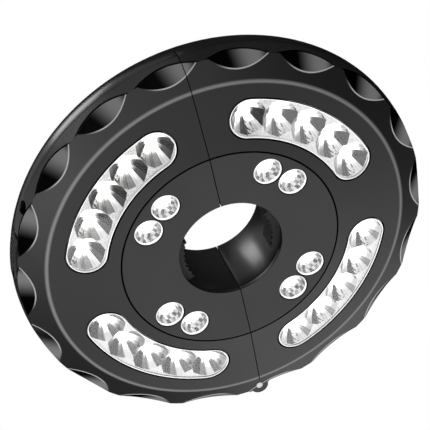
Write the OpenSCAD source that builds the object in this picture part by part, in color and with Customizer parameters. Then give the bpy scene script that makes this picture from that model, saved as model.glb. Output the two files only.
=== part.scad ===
// Cordless umbrella light. Two half rings are hinged at the back, close round a pole and grip it
// with sprung rubber jaws. The light face looks down, +Z runs up along the pole, and the origin
// lies on the pole's axis at the middle height of the jaw pads. The split lies in the plane x = 0:
// it opens at the -Y end and its hinge stands at the +Y end. Every module draws with z = 0 at the
// light face, and in_frame() brings it down to the origin.

/* [Body] */
// Outer radius of the lamp body
body_r = 94.5; // [92:0.5:120]
// Height from the light face to the flat top
body_h = 34.5; // [34:0.5:44]
// Height of the line where the face housing and the top cover meet
part_h = 17.5; // [17:0.5:21]
// Radius of the rounded shoulder of the top cover
shoulder_r = 14; // [13:0.5:17]
// Thickness of the shell walls
wall = 2.2; // [1.8:0.1:2.4]
// Gap between the two closed halves
split_gap = 0.4; // [0.3:0.1:0.8]
// Radius of the pole passage
hole_r = 24; // [23:0.5:26]
// Thickness of the wall round the pole passage
bore_wall = 2; // [1.6:0.1:2.4]

/* [Light face] */
// Outer radius of the flat inner ring
panel_r = 50; // [49:0.5:54]
// Width of the seam round the flat inner ring
seam = 0.2; // [0.1:0.05:0.4]
// Distance from the outer radius in to the ridge of the face
ridge_inset = 12; // [11:0.5:14]
// Height of the ridge above the flat inner ring
ridge_h = 5.3; // [4:0.1:6.5]
// Distance from the outer radius in to the edge of the face
edge_inset = 1; // [0.6:0.1:1.6]
// Height of the edge of the face
edge_h = 10.4; // [9.6:0.1:11.5]
// Overlap of the ledge that carries the inner ring
ledge_w = 1.4; // [1:0.1:1.4]
// Thickness of the ledge
ledge_t = 1.6; // [1.2:0.1:2]

/* [Scalloped rim] */
// Number of scallops
scallop_count = 18; // [12:1:24]
// Turn of the scallop ring in degrees
scallop_turn = 5; // [0:1:20]
// Radius of the cutter of a scallop
scallop_r = 66; // [56:1:72]
// Depth of a scallop below the edge of the face
scallop_depth = 1.95; // [1.6:0.05:2.4]
// Wall left behind a scallop
scallop_wall = 1.8; // [1.4:0.1:2]

/* [Curved windows] */
// Distance from the ridge in to the middle line of a window
window_inset = 17; // [16:0.5:18]
// Half of a window's width
window_half = 9.4; // [8:0.1:10]
// Lights in one window
window_lights = 5; // [3:1:5]
// Angle between two lights of a window in degrees
light_step = 13; // [12:0.5:13.5]
// Thickness of a window lens
lens_t = 1.4; // [1:0.1:1.8]
// Flange of a window lens behind the wall
lens_flange = 1.2; // [0.8:0.1:1.6]
// Clearance round a lens
lens_gap = 0.1; // [0.05:0.05:0.2]
// Radius of a cup's small end
cup_back_r = 3; // [2.8:0.1:3.4]

/* [Spot lights] */
// Distance from the inner ring's outer radius in to the spot lights
spot_inset = 8.9; // [8.5:0.1:10]
// Angle between the two spot lights of a pair in degrees
spot_step = 19.5; // [19:0.5:22]
// Radius of a spot light's hole
spot_r = 6.6; // [5.5:0.1:6.6]

/* [Circuit boards] */
// Height of the light board's underside
board_h = 12; // [11.5:0.1:13]
// Thickness of a circuit board
board_t = 1.6; // [1.2:0.1:1.6]
// Inner radius of the light board
board_in_r = 32; // [31:0.5:33]
// Distance from the outer radius in to the light board
board_inset = 17.5; // [17:0.5:19]
// Radius of a light emitting diode's dome
led_r = 2.4; // [1.8:0.1:2.6]
// Height of a light emitting diode's body
led_h = 2.4; // [1.6:0.1:2.8]

/* [Jaws] */
// Radius of the pole that the pads fit
pad_r = 20.5; // [19.5:0.5:21.5]
// Thickness of a rubber pad
pad_t = 2.9; // [2.4:0.1:3]
// Half angle that one pad covers
pad_half = 28; // [27:1:30]
// Height of the pads' lower edge
pad_low = 2.6; // [2.5:0.1:3]
// Height of the pads' upper edge
pad_top = 14.5; // [14:0.1:15]
// Height of the toothed lower part of a pad
tooth_h = 2.4; // [1.5:0.1:4]
// Depth of a tooth
tooth_depth = 0.9; // [0.5:0.1:1.2]
// Angle between two teeth in degrees
tooth_step = 8; // [6:1:9]
// Half width of a jaw
jaw_half = 11; // [10.4:0.1:12]
// Distance from the pole's axis to a jaw's back
jaw_back = 35.5; // [34:0.5:36]
// Way that a jaw can give outwards
jaw_give = 2.4; // [1:0.1:2.4]
// Clearance beside a jaw
jaw_gap = 0.3; // [0.2:0.05:0.4]
// Thickness of the jaw guide's walls
guide_t = 1.8; // [1.4:0.1:2]
// Distance of a jaw spring from the jaw's middle
spring_side = 6; // [5.5:0.1:6.5]
// Radius of a jaw spring
spring_r = 2.2; // [1.8:0.1:2.4]

/* [Batteries] */
// Radius of a battery cell
cell_r = 7.1; // [5.2:0.05:7.25]
// Length of a battery cell
cell_len = 50.2; // [44:0.1:50.5]
// Distance from the pole's axis to the first cell
cell_x = 38; // [37:0.5:39]
// Distance between two cells
cell_step = 15; // [14.6:0.1:16]
// Half length of the battery bay
bay_half = 31.3; // [31:0.1:33]
// Inner end of the battery bay
bay_in = 28.2; // [28:0.1:29]
// Outer end of the battery bay
bay_out = 62.8; // [61.5:0.1:64]
// Thickness of the tray's walls
tray_t = 1.2; // [1:0.1:1.2]
// Height of the tray's underside
tray_h = 17.2; // [16:0.1:17.2]
// Thickness of a battery door
door_t = 1.7; // [1.4:0.1:1.9]
// Clearance round a battery door
door_gap = 0.3; // [0.2:0.05:0.4]
// Radius of a battery door's barrel
barrel_r = 1.4; // [1.2:0.05:1.5]

/* [Hinge] */
// Distance from the pole's axis to the hinge axis
hinge_inset = 3.5; // [3:0.1:4]
// Radius of a knuckle
knuckle_r = 4.2; // [4:0.1:4.4]
// Clearance round the knuckles
knuckle_gap = 0.4; // [0.3:0.05:0.5]
// Radius of the hinge pin
pin_r = 1.5; // [1.2:0.1:1.6]
// Clearance of the hinge pin in its bores
pin_gap = 0.05; // [0.03:0.01:0.08]
// Mean radius of the hinge spring's coil
coil_r = 2.95; // [2.8:0.05:3.05]
// Diameter of the hinge spring's wire
coil_wire = 0.85; // [0.6:0.05:0.9]
// Turns of the hinge spring
coil_turns = 4; // [3:1:5]
// Rise of the hinge spring in one turn
coil_rise = 1.35; // [1.3:0.05:1.6]

/* [Side controls] */
// Direction of the mode slider in degrees
slider_at = 194.2; // [192:0.2:196]
// Length of the mode slider
slider_len = 17.6; // [16:0.2:22]
// Height of the mode slider
slider_h = 4.9; // [4:0.1:5.2]
// Way that the mode slider travels
slider_travel = 4; // [3:0.1:4]
// Distance between two ribs of the slider
rib_pitch = 2.6; // [2:0.1:3]
// Number of grooves in the slider
rib_count = 6; // [5:1:6]
// Direction of the power jack in degrees
jack_at = 210.2; // [209:0.2:212]
// Height of the power jack's axis
jack_h = 16.2; // [15.5:0.1:17]
// Radius of the power jack's bore
jack_r = 2.8; // [2.6:0.05:2.85]
// Radius of the hole in the side wall in front of the jack
jack_hole_r = 3.1; // [3.05:0.05:3.4]

/* [Screws] */
// Distance from the outer radius in to the case screws
case_inset = 10.5; // [10:0.1:11]
// Radius of a case screw's shank
screw_r = 1.4; // [1.2:0.1:1.5]
// Radius of a case screw's head
screw_head_r = 2.8; // [2.4:0.1:2.9]
// Radius of a board screw's shank
small_screw_r = 1.1; // [0.9:0.05:1.2]

/* [Hidden] */
$fn = 96;

// One overrun serves every cut that goes right through
over = 3;
// The pads' middle height is the height of the origin
face_drop = (pad_low + pad_top) / 2;
// Radii of the face, worked out from the body's outer radius
ridge_r = body_r - ridge_inset;
edge_r = body_r - edge_inset;
ledge_in_r = panel_r - ledge_w;
// The scallops' deepest line leans at 45 degrees, and the hollow's chamfer runs behind it
diagonal_share = sqrt(0.5);
scallop_out = (scallop_r - scallop_depth) * diagonal_share;
hollow_line = edge_r - edge_h - (scallop_depth + scallop_wall) / diagonal_share;
// The halves, and what keeps clear of their split walls
half_x = split_gap / 2;
split_in = half_x + wall;
board_clear = 0.5;
board_x = split_in + board_clear;
// The top cover's lip inside the housing
lip_h = 1.8;
lip_t = 1.9;
lip_gap = 0.2;
lip_out_r = body_r - wall - lip_gap;
cover_gap = 0.4;
// Windows, lenses and cups
window_r = ridge_r - window_inset;
window_reach = light_step * (window_lights - 1) / 2;
end_turn = 0.8;
front_dir = 225;
rear_dir = 135;
flange_seat = 0.05;
lens_flange_t = 1;
lens_skirt = 1;
lens_half = window_half - lens_gap;
cup_block_half = lens_half - lens_skirt - lens_gap;
cup_lift = 0.2;
cup_lip_share = 0.4;
cup_front_r = cup_block_half + cup_lip_share * lens_skirt;
cup_floor = 1.2;
// Spot lights
spot_ring_r = panel_r - spot_inset;
spot_lens_r = spot_r - lens_gap;
spot_flange_w = 0.6;
spot_flange_r = spot_r + spot_flange_w;
spot_flange_t = 1;
spot_set_in = 0.1;
spot_cup_front_r = spot_r - lens_skirt;
// Light boards and their posts
board_out_r = body_r - board_inset;
board_top = board_h + board_t;
board_notch_half = 15;
board_notch_x = 42;
led_gap = 0.3;
led_base_r = cup_back_r - led_gap;
led_base_t = 1;
post_r = 2.4;
post_out = 5.5;
post_ring_r = window_r + post_out;
post_dirs = [96, 180, 264];
inner_post_r = 38;
back_post_r = 44.8;
inner_post_dirs = [108, 252];
pilot_gap = 0.05;
pilot_depth = 3.5;
small_head_r = 2.1;
small_head_h = 1.3;
// Case screws
case_r = body_r - case_inset;
case_dirs = [105, 150, 228, 255];
case_post_low = 8.2;
case_post_r = 3.4;
case_seat = 14;
case_seat_t = 1.8;
well_wall = 1.3;
well_gap = 0.3;
well_r = screw_head_r + well_gap;
screw_head_h = 2.2;
screw_len = 5.4;
cross_share = 0.6;
cross_width_share = 0.2;
// Jaws, measured along x from the pole's axis
slot_half = jaw_half + jaw_gap;
jaw_front = pad_r + pad_t;
guide_in = 26.6;
guide_end = jaw_back + jaw_give + jaw_gap;
guide_top = pad_top + jaw_gap;
spring_pocket = 8;
spring_gap = 0.4;
spring_pocket_r = spring_r + spring_gap;
spring_bore_share = 0.64;
tooth_reach = floor(pad_half / tooth_step);
jaw_slot_gap = 0.5;
jaw_slot_top = pad_top + jaw_slot_gap;
// Battery bay
cell_gap = 0.2;
cell_h = tray_h + tray_t + cell_gap + cell_r;
cell_nub = 1.2;
cell_nub_r = 2.7;
tray_top = body_h - wall;
plate_t = 0.6;
plate_half_x = 5.5;
plate_half_z = 5;
bump_r = 3;
contact_gap = 0.1;
contact_spring_r = 3.6;
contact_bore_r = 2.8;
door_in = bay_in + door_gap;
door_out = bay_out - door_gap;
door_half = bay_half - door_gap;
door_axis_x = door_in + barrel_r;
door_axis_h = body_h - barrel_r;
door_pin_r = 0.7;
door_pin_len = 1.1;
door_pin_gap = 0.05;
notch_half = 8;
notch_depth = 2.4;
door_boss = 1.4;
boss_drop = door_boss + door_gap;
boss_clear = barrel_r + boss_drop;
// Hinge, stacked along z from the lower knuckle up
hinge_y = body_r - hinge_inset;
relief_r = knuckle_r + knuckle_gap;
hinge_wall = 1.6;
web_half = 2;
low_knuckle = [9.5, 11.8];
mid_knuckle = [12.1, 15.6];
top_knuckle = [24, 28];
pin_head_r = 2.3;
pin_head_h = 0.8;
coil_low = mid_knuckle[1] + coil_wire;
coil_sides = 6;
coil_rings = 8;
// Side controls, turned to their direction and measured along x from the pole's axis
switch_h = part_h;
frame_gap = 0.15;
frame_rim = 1.3;
frame_deep = 0.8;
frame_in = body_r - wall - frame_deep;
frame_proud = 0.3;
frame_out = body_r + frame_proud;
slot_end_gap = 0.35;
slot_h = slider_h + 2 * slot_end_gap;
slot_len = slider_len + slider_travel + 2 * slot_end_gap;
slider_shift = (slider_travel / 2) / body_r * 180 / PI;
slider_back = 1.3;
slider_lip_back = 0.9;
slider_in = frame_in - slider_back;
slider_lip_in = frame_in - slider_lip_back;
slider_proud = 0.4;
slider_out = body_r + slider_proud;
groove_depth = 0.6;
groove_w = 1.3;
slider_lip = 1.2;
stem_len = 3;
stem_w = 4;
stem_h = 2;
switch_gap = 0.9;
switch_out = slider_in - switch_gap;
switch_len = 18;
switch_deep = 7;
switch_tall = 6.4;
stem_play = 1;
stem_gap = 0.8;
switch_slot_w = stem_w + slider_travel + stem_play;
switch_slot_h = stem_h + stem_gap;
jack_gap = 0.4;
jack_lip = 0.6;
jack_out = hollow_line + jack_h - jack_r - jack_lip - jack_gap;
jack_deep = 9;
jack_wide = 8.6;
jack_low = 11.9;
jack_clear = 5.8;
jack_inner_r = 2.2;
jack_floor = 1;
jack_pin_r = 1;
jack_pin_gap = 0.4;
control_h = switch_h + switch_tall / 2;
control_in = 74;
control_turn = 28;
chip_h = 1.4;
// Wires
wire_r = 0.7;
wire_y = 16;
wire_x = 66.5;
wire_h = 22;
link_r = 0.9;
link_y = 72;
link_x = 13;
link_h = 21;
link_hole_r = 1.6;

// Least gap between neighbouring turns of the hinge spring, measured on points of its middle line
coil_points = [for (i = [0 : coil_turns * coil_rings]) coil_point(i / coil_rings)];
coil_gaps = [for (i = [0 : len(coil_points) - 1]) for (j = [i + coil_rings / 2 : len(coil_points) - 1])
  norm(coil_points[i] - coil_points[j]) - coil_wire];
echo(least_coil_gap = min(coil_gaps));

// Height of the face at a radius between the inner ring and the ridge
function face_z(r) = ridge_h * (r - panel_r) / (ridge_r - panel_r);
function coil_point(turn) = [
  coil_r * cos(360 * turn), coil_r * sin(360 * turn), coil_low + coil_rise * turn
];

module in_frame() {
  translate([0, 0, -face_drop]) children();
}

// The left half is drawn at -x. The right half is its mirror image.
module on_side(side) {
  if (side == "right") mirror([1, 0, 0]) children();
  else children();
}

module left_space() {
  reach = body_r + over;
  translate([-reach, -reach, -over]) cube([reach - half_x, 2 * reach, body_h + 2 * over]);
}

module left_slab() {
  reach = body_r + over;
  translate([-split_in, -reach, -over]) cube([wall, 2 * reach, body_h + 2 * over]);
}

// Solid outline of the face housing, from the inner ring out
module housing_outline() {
  polygon([
    [panel_r, 0], [ridge_r, ridge_h], [edge_r, edge_h], [body_r, part_h], [panel_r, part_h]
  ]);
}

module housing_hollow() {
  polygon([
    [panel_r - over, wall], [panel_r, wall], [ridge_r, ridge_h + wall],
    [hollow_line + ridge_h + wall, ridge_h + wall], [body_r - wall, body_r - wall - hollow_line],
    [body_r - wall, part_h + over], [panel_r - over, part_h + over]
  ]);
}

// Solid outline of the top cover, with its shoulder as a true arc
module cover_outline(inset) {
  arc_x = body_r - shoulder_r;
  arc_z = body_h - shoulder_r;
  round_r = shoulder_r - inset;
  difference() {
    translate([hole_r, part_h - (inset > 0 ? over : 0)])
      square([body_r - inset - hole_r, body_h - inset - part_h + (inset > 0 ? over : 0)]);
    difference() {
      translate([arc_x, arc_z]) square([shoulder_r + over, shoulder_r + over]);
      translate([arc_x, arc_z]) circle(round_r);
    }
  }
}

// Curved slot with round ends, centred on +x. Its ring stretch stops just short of the ends'
// centres, so that the two outlines cross there and don't only touch.
module window_outline(half_w) {
  reach = 2 * body_r;
  turn = window_reach - end_turn;
  intersection() {
    difference() {
      circle(window_r + half_w);
      circle(window_r - half_w);
    }
    polygon([
      [0, 0], [reach * cos(turn), -reach * sin(turn)], [reach * cos(turn), reach * sin(turn)]
    ]);
  }
  for (s = [-1, 1]) rotate(s * window_reach) translate([window_r, 0]) circle(half_w);
}

module window_prism(half_w) {
  translate([0, 0, -over]) linear_extrude(board_h + over) window_outline(half_w);
}

// Ring that follows the sloping face between two heights above it
module face_layer(low, high) {
  in_r = window_r - window_half - over;
  out_r = window_r + window_half + over;
  rotate_extrude() polygon([
    [in_r, face_z(in_r) + low], [out_r, face_z(out_r) + low],
    [out_r, face_z(out_r) + high], [in_r, face_z(in_r) + high]
  ]);
}

module scallops() {
  for (k = [0 : scallop_count - 1]) rotate(scallop_turn + k * 360 / scallop_count)
    translate([edge_r + scallop_out, 0, edge_h - scallop_out])
      rotate([0, 45, 0]) cylinder(r = scallop_r, h = 2 * body_h, center = true);
}

module tube(r_out, r_in, h) {
  difference() {
    cylinder(r = r_out, h = h);
    translate([0, 0, -over]) cylinder(r = r_in, h = h + 2 * over);
  }
}

// Wall round the hinge, cut by the relief that the knuckles turn in
module hinge_wall_block(low, high) {
  translate([0, hinge_y, low]) cylinder(r = relief_r + hinge_wall, h = high - low);
}

module hinge_relief() {
  translate([0, hinge_y, -over]) cylinder(r = relief_r, h = body_h + 2 * over);
}

// Knuckle on the hinge axis with a web that reaches its own half at -x
module knuckle(span) {
  difference() {
    translate([0, hinge_y, span[0]]) {
      cylinder(r = knuckle_r, h = span[1] - span[0]);
      translate([-relief_r - hinge_wall / 2, -web_half, 0])
        cube([relief_r + hinge_wall / 2, 2 * web_half, span[1] - span[0]]);
    }
    translate([0, hinge_y, -over]) cylinder(r = pin_r + pin_gap, h = body_h + 2 * over);
  }
}

// Block with round ends that looks outwards at a direction in the side wall
module side_prism(dir, length, height, in_x) {
  rotate(dir) translate([in_x, 0, switch_h]) rotate([0, 90, 0]) linear_extrude(body_r) {
    square([height, length - height], center = true);
    for (s = [-1, 1]) translate([0, s * (length - height) / 2]) circle(height / 2);
  }
}

module side_ring(in_r, out_r) {
  translate([0, 0, switch_h - slot_h - over]) difference() {
    cylinder(r = out_r, h = 2 * (slot_h + over));
    translate([0, 0, -over]) cylinder(r = in_r, h = 2 * (slot_h + over) + 2 * over);
  }
}

module side_openings() {
  clear = frame_rim + frame_gap;
  side_prism(slider_at, slot_len + 2 * clear, slot_h + 2 * clear, body_r / 2);
  rotate(jack_at) translate([body_r / 2, 0, jack_h]) rotate([0, 90, 0])
    cylinder(r = jack_hole_r, h = body_r);
}

module post_places() {
  for (a = post_dirs) rotate(a) translate([post_ring_r, 0, 0]) children();
}

module inner_post_places() {
  for (a = inner_post_dirs) rotate(a) translate([inner_post_r, 0, 0]) children();
  translate([-back_post_r, 0, 0]) children();
}

module case_places() {
  for (a = case_dirs) rotate(a) translate([case_r, 0, 0]) children();
}

module spot_places() {
  for (d = [rear_dir, front_dir]) for (s = [-1, 1])
    rotate(d + s * spot_step / 2) translate([spot_ring_r, 0, 0]) children();
}

module light_places() {
  for (k = [0 : window_lights - 1]) rotate(-window_reach + k * light_step)
    translate([window_r, 0, 0]) children();
}

// Face ring of one half: shell, ledge for the inner ring, split wall, posts and screw pillars
module housing(side) {
  on_side(side) difference() {
    union() {
      intersection() {
        union() {
          rotate_extrude() difference() {
            housing_outline();
            housing_hollow();
          }
          translate([0, 0, wall]) tube(panel_r + ledge_w, ledge_in_r, ledge_t);
          intersection() {
            rotate_extrude() housing_outline();
            union() {
              left_slab();
              hinge_wall_block(0, part_h);
            }
          }
        }
        left_space();
      }
      post_places() translate([0, 0, face_z(post_ring_r) + wall / 2])
        cylinder(r = post_r, h = board_h - face_z(post_ring_r) - wall / 2);
      case_places() translate([0, 0, case_post_low])
        cylinder(r = case_post_r, h = case_seat - case_post_low);
    }
    for (d = [front_dir, rear_dir]) rotate(d) window_prism(window_half);
    post_places() translate([0, 0, board_h - pilot_depth])
      cylinder(r = small_screw_r + pilot_gap, h = pilot_depth + over);
    case_places() translate([0, 0, case_post_low + wall / 2])
      cylinder(r = screw_r + pilot_gap, h = case_seat);
    hinge_relief();
  }
}

module housing_left() {
  color("#2b2b2d") in_frame() {
    difference() {
      housing("left");
      scallops();
      side_openings();
    }
    knuckle(low_knuckle);
  }
}

module housing_right() {
  color("#2b2b2d") in_frame() {
    difference() {
      housing("right");
      scallops();
    }
    on_side("right") knuckle(mid_knuckle);
  }
}

// Flat inner ring of one half, with the spot lights' holes and three posts for the light board
module center_panel(side) {
  color("#262628") in_frame() on_side(side) difference() {
    union() {
      intersection() {
        tube(panel_r - seam, hole_r, wall);
        left_space();
      }
      inner_post_places() cylinder(r = post_r, h = board_h);
    }
    spot_places() translate([0, 0, -over]) cylinder(r = spot_r, h = wall + 2 * over);
    inner_post_places() translate([0, 0, board_h - pilot_depth])
      cylinder(r = small_screw_r + pilot_gap, h = pilot_depth + over);
  }
}

module center_panel_left() { center_panel("left"); }
module center_panel_right() { center_panel("right"); }

// The top cover's lip, which stops clear of the housing's split wall and hinge wall
module lip() {
  difference() {
    translate([0, 0, part_h - lip_h]) tube(lip_out_r, lip_out_r - lip_t, lip_h + wall);
    translate([-split_in - lip_gap, -body_r, part_h - lip_h - over])
      cube([body_r, 2 * body_r, lip_h + over]);
    translate([0, hinge_y, part_h - lip_h - over])
      cylinder(r = relief_r + hinge_wall + lip_gap, h = lip_h + over);
  }
}

// Upper shell of one half: shoulder, flat top with the battery bay, pole passage and screw wells
module top_cover(side) {
  inner_low = wall + cover_gap;
  on_side(side) difference() {
    union() {
      intersection() {
        union() {
          rotate_extrude() {
            difference() {
              cover_outline(0);
              cover_outline(wall);
            }
            translate([hole_r, inner_low]) square([bore_wall, body_h - inner_low]);
          }
          lip();
          intersection() {
            rotate_extrude() {
              cover_outline(0);
              translate([hole_r, inner_low])
                square([ledge_in_r - cover_gap - hole_r, part_h - inner_low + wall]);
            }
            left_slab();
          }
          intersection() {
            rotate_extrude() cover_outline(0);
            union() {
              hinge_wall_block(part_h, body_h);
              case_places() translate([0, 0, part_h]) cylinder(r = well_r + well_wall, h = body_h);
            }
          }
        }
        left_space();
      }
      case_places() translate([0, 0, case_seat])
        cylinder(r = well_r + well_wall, h = part_h - case_seat + wall);
      for (s = [-1, 1]) translate([-door_axis_x, s * (door_half + door_gap + door_pin_len / 2), 0])
        translate([-barrel_r - door_boss, -(door_pin_len + door_boss) / 2, tray_top - door_boss])
          cube([2 * (barrel_r + door_boss), door_pin_len + door_boss, wall + door_boss]);
    }
    case_places() {
      translate([0, 0, case_seat + case_seat_t]) cylinder(r = well_r, h = body_h);
      translate([0, 0, part_h - over - lip_h]) cylinder(r = screw_r + pilot_gap, h = body_h);
    }
    translate([-bay_out, -bay_half, tray_top - over])
      cube([bay_out - bay_in, 2 * bay_half, wall + 2 * over]);
    door_pins(door_pin_r + door_pin_gap, door_pin_len + door_gap + door_pin_gap);
    translate([-guide_in, -slot_half, 0]) cube([guide_in, 2 * slot_half, jaw_slot_top]);
    translate([-split_in - over, link_y, link_h]) rotate([0, 90, 0])
      cylinder(r = link_hole_r, h = split_in + 2 * over);
    hinge_relief();
  }
}

// Hinge pins at both ends of a battery door's barrel, as solids of a given radius and reach
module door_pins(r, reach) {
  for (s = [0, 1]) mirror([0, s, 0]) translate([-door_axis_x, door_half, door_axis_h])
    rotate([-90, 0, 0]) cylinder(r = r, h = reach);
}

// Stretch of the cover's lip that makes way for the slider and the jack
module lip_cut() {
  slider_turn = (slot_len / 2 + frame_rim + 2 * slider_lip) / body_r * 180 / PI;
  jack_turn = (jack_wide / 2 + wall) / body_r * 180 / PI;
  rotate(slider_at - slider_turn) rotate_extrude(angle = jack_at + jack_turn - slider_at + slider_turn)
    translate([body_r / 2, part_h - lip_h - over])
      square([lip_out_r + lip_gap / 2 - body_r / 2, over + lip_h + slot_h]);
}

module top_cover_left() {
  color("#1d1d1f") in_frame() {
    difference() {
      top_cover("left");
      lip_cut();
      side_openings();
    }
    knuckle(top_knuckle);
  }
}

module top_cover_right() {
  color("#1d1d1f") in_frame() top_cover("right");
}

// Window lens: a plate flush with the face, a skirt through the wall and a flange behind it
module arc_lens(side, dir) {
  color("#e8ecee", 0.6) in_frame() on_side(side) rotate(dir) {
    intersection() {
      window_prism(lens_half);
      face_layer(0, lens_t);
    }
    intersection() {
      difference() {
        window_prism(lens_half);
        window_prism(lens_half - lens_skirt);
      }
      face_layer(lens_t / 2, wall + flange_seat + lens_flange_t);
    }
    intersection() {
      difference() {
        window_prism(window_half + lens_flange);
        window_prism(lens_half - lens_skirt);
      }
      face_layer(wall + flange_seat, wall + flange_seat + lens_flange_t);
    }
  }
}

module arc_lens_left_front() { arc_lens("left", front_dir); }
module arc_lens_left_rear() { arc_lens("left", rear_dir); }
module arc_lens_right_front() { arc_lens("right", front_dir); }
module arc_lens_right_rear() { arc_lens("right", rear_dir); }

// Reflector strip: a block behind the lens with one open cone for each light
module arc_reflector(side, dir) {
  front = face_z(window_r) + lens_t + cup_lift;
  color("#c9ccd0") in_frame() on_side(side) rotate(dir) difference() {
    intersection() {
      window_prism(cup_block_half);
      union() {
        face_layer(lens_t + cup_lift, board_h / 2);
        translate([0, 0, board_h / 2]) cylinder(r = body_r, h = board_h / 2);
      }
    }
    light_places() {
      translate([0, 0, front - over])
        cylinder(r1 = cup_front_r + over * (cup_front_r - cup_back_r) / (board_h - cup_floor - front),
          r2 = cup_back_r, h = board_h - cup_floor - front + over);
      translate([0, 0, board_h - cup_floor - over]) cylinder(r = cup_back_r, h = 2 * over);
    }
  }
}

module arc_reflector_left_front() { arc_reflector("left", front_dir); }
module arc_reflector_left_rear() { arc_reflector("left", rear_dir); }
module arc_reflector_right_front() { arc_reflector("right", front_dir); }
module arc_reflector_right_rear() { arc_reflector("right", rear_dir); }

module spot_lenses(side) {
  color("#eef0f2", 0.6) in_frame() on_side(side) spot_places() {
    translate([0, 0, spot_set_in]) cylinder(r = spot_lens_r, h = wall + flange_seat - spot_set_in);
    translate([0, 0, wall + flange_seat]) cylinder(r = spot_flange_r, h = spot_flange_t);
  }
}

module spot_lenses_left() { spot_lenses("left"); }
module spot_lenses_right() { spot_lenses("right"); }

module spot_reflectors(side) {
  low = wall + flange_seat + spot_flange_t;
  color("#c9ccd0") in_frame() on_side(side) difference() {
    spot_places() translate([0, 0, low]) cylinder(r = spot_r, h = board_h - low);
    spot_places() {
      translate([0, 0, low]) cylinder(r1 = spot_cup_front_r, r2 = cup_back_r, h = board_h - low - cup_floor);
      translate([0, 0, board_h - cup_floor - over / 4]) cylinder(r = cup_back_r, h = over);
      translate([0, 0, low - over]) cylinder(r = spot_cup_front_r, h = over);
    }
  }
}

module spot_reflectors_left() { spot_reflectors("left"); }
module spot_reflectors_right() { spot_reflectors("right"); }

module led_board(side) {
  color("#e9e9e4") in_frame() on_side(side) difference() {
    intersection() {
      translate([0, 0, board_h]) tube(board_out_r, board_in_r, board_t);
      translate([-2 * body_r - board_x, -body_r, 0]) cube([2 * body_r, 2 * body_r, body_h]);
    }
    translate([-board_notch_x, -board_notch_half, 0])
      cube([board_notch_x, 2 * board_notch_half, body_h]);
    post_places() cylinder(r = small_screw_r + pilot_gap, h = body_h);
    inner_post_places() cylinder(r = small_screw_r + pilot_gap, h = body_h);
  }
}

module led_board_left() { led_board("left"); }
module led_board_right() { led_board("right"); }

// Light emitting diode: a flat round base under the board and a dome that looks down
module led() {
  translate([0, 0, board_h - led_base_t]) cylinder(r = led_base_r, h = led_base_t);
  translate([0, 0, board_h - led_base_t]) rotate([180, 0, 0]) rotate_extrude() intersection() {
    circle(led_r);
    square([led_r, led_h]);
  }
}

module arc_leds(side) {
  color("#fff8e6") in_frame() on_side(side) for (d = [front_dir, rear_dir]) rotate(d) light_places() led();
}

module arc_leds_left() { arc_leds("left"); }
module arc_leds_right() { arc_leds("right"); }

module spot_leds(side) {
  color("#fff8e6") in_frame() on_side(side) spot_places() led();
}

module spot_leds_left() { spot_leds("left"); }
module spot_leds_right() { spot_leds("right"); }

// Jaw carrier: hollowed to the pad's back, with two pockets for its springs
module jaw(side) {
  color("#1a1a1b") in_frame() on_side(side) difference() {
    translate([-jaw_back, -jaw_half, pad_low]) cube([jaw_back, 2 * jaw_half, pad_top - pad_low]);
    translate([0, 0, -over]) cylinder(r = jaw_front, h = body_h);
    for (s = [-1, 1]) translate([-jaw_back - over, s * spring_side, face_drop]) rotate([0, 90, 0])
      cylinder(r = spring_pocket_r, h = spring_pocket + over);
  }
}

module jaw_left() { jaw("left"); }
module jaw_right() { jaw("right"); }

module pad_sector(half, r) {
  reach = 2 * r;
  polygon([[0, 0], [-reach * cos(half), -reach * sin(half)], [-reach * cos(half), reach * sin(half)]]);
}

// Rubber pad: smooth above, toothed along its lower edge
module jaw_pad(side) {
  color("#111112") in_frame() on_side(side) difference() {
    translate([0, 0, pad_low]) linear_extrude(pad_top - pad_low) intersection() {
      difference() {
        circle(jaw_front);
        circle(pad_r);
      }
      pad_sector(pad_half, jaw_front);
    }
    translate([0, 0, pad_low - over]) linear_extrude(tooth_h + over)
      for (k = [-tooth_reach : tooth_reach]) rotate(180 + k * tooth_step) polygon([
        [pad_r - tooth_depth, -2 * tooth_depth], [pad_r + tooth_depth, 0],
        [pad_r - tooth_depth, 2 * tooth_depth]
      ]);
  }
}

module jaw_pad_left() { jaw_pad("left"); }
module jaw_pad_right() { jaw_pad("right"); }

module jaw_springs(side) {
  color("#9aa0a6") in_frame() on_side(side)
    for (s = [-1, 1]) translate([-guide_end, s * spring_side, face_drop]) rotate([0, 90, 0])
      tube(spring_r, spring_r * spring_bore_share, guide_end - jaw_back + spring_pocket);
}

module jaw_springs_left() { jaw_springs("left"); }
module jaw_springs_right() { jaw_springs("right"); }

// Channel on the inner ring that the jaw slides in, closed above and at its end
module jaw_guide(side) {
  color("#3a3a3c") in_frame() on_side(side) difference() {
    translate([-guide_end - guide_t, -slot_half - guide_t, wall])
      cube([guide_end + guide_t - guide_in, 2 * (slot_half + guide_t), guide_top + guide_t - wall]);
    translate([-guide_end, -slot_half, wall - over])
      cube([guide_end, 2 * slot_half, guide_top - wall + over]);
  }
}

module jaw_guide_left() { jaw_guide("left"); }
module jaw_guide_right() { jaw_guide("right"); }

module battery_tray(side) {
  color("#2f2f31") in_frame() on_side(side) difference() {
    translate([-bay_out - tray_t, -bay_half - tray_t, tray_h])
      cube([bay_out - bay_in + 2 * tray_t, 2 * (bay_half + tray_t), tray_top - tray_h]);
    translate([-bay_out, -bay_half, tray_h + tray_t])
      cube([bay_out - bay_in, 2 * bay_half, body_h]);
    for (s = [-1, 1])
      translate([-door_axis_x - boss_clear, s * (bay_half + tray_t) - 2 * tray_t, tray_top - boss_drop])
        cube([2 * boss_clear + over, 4 * tray_t, body_h]);
  }
}

module battery_tray_left() { battery_tray("left"); }
module battery_tray_right() { battery_tray("right"); }

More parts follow.
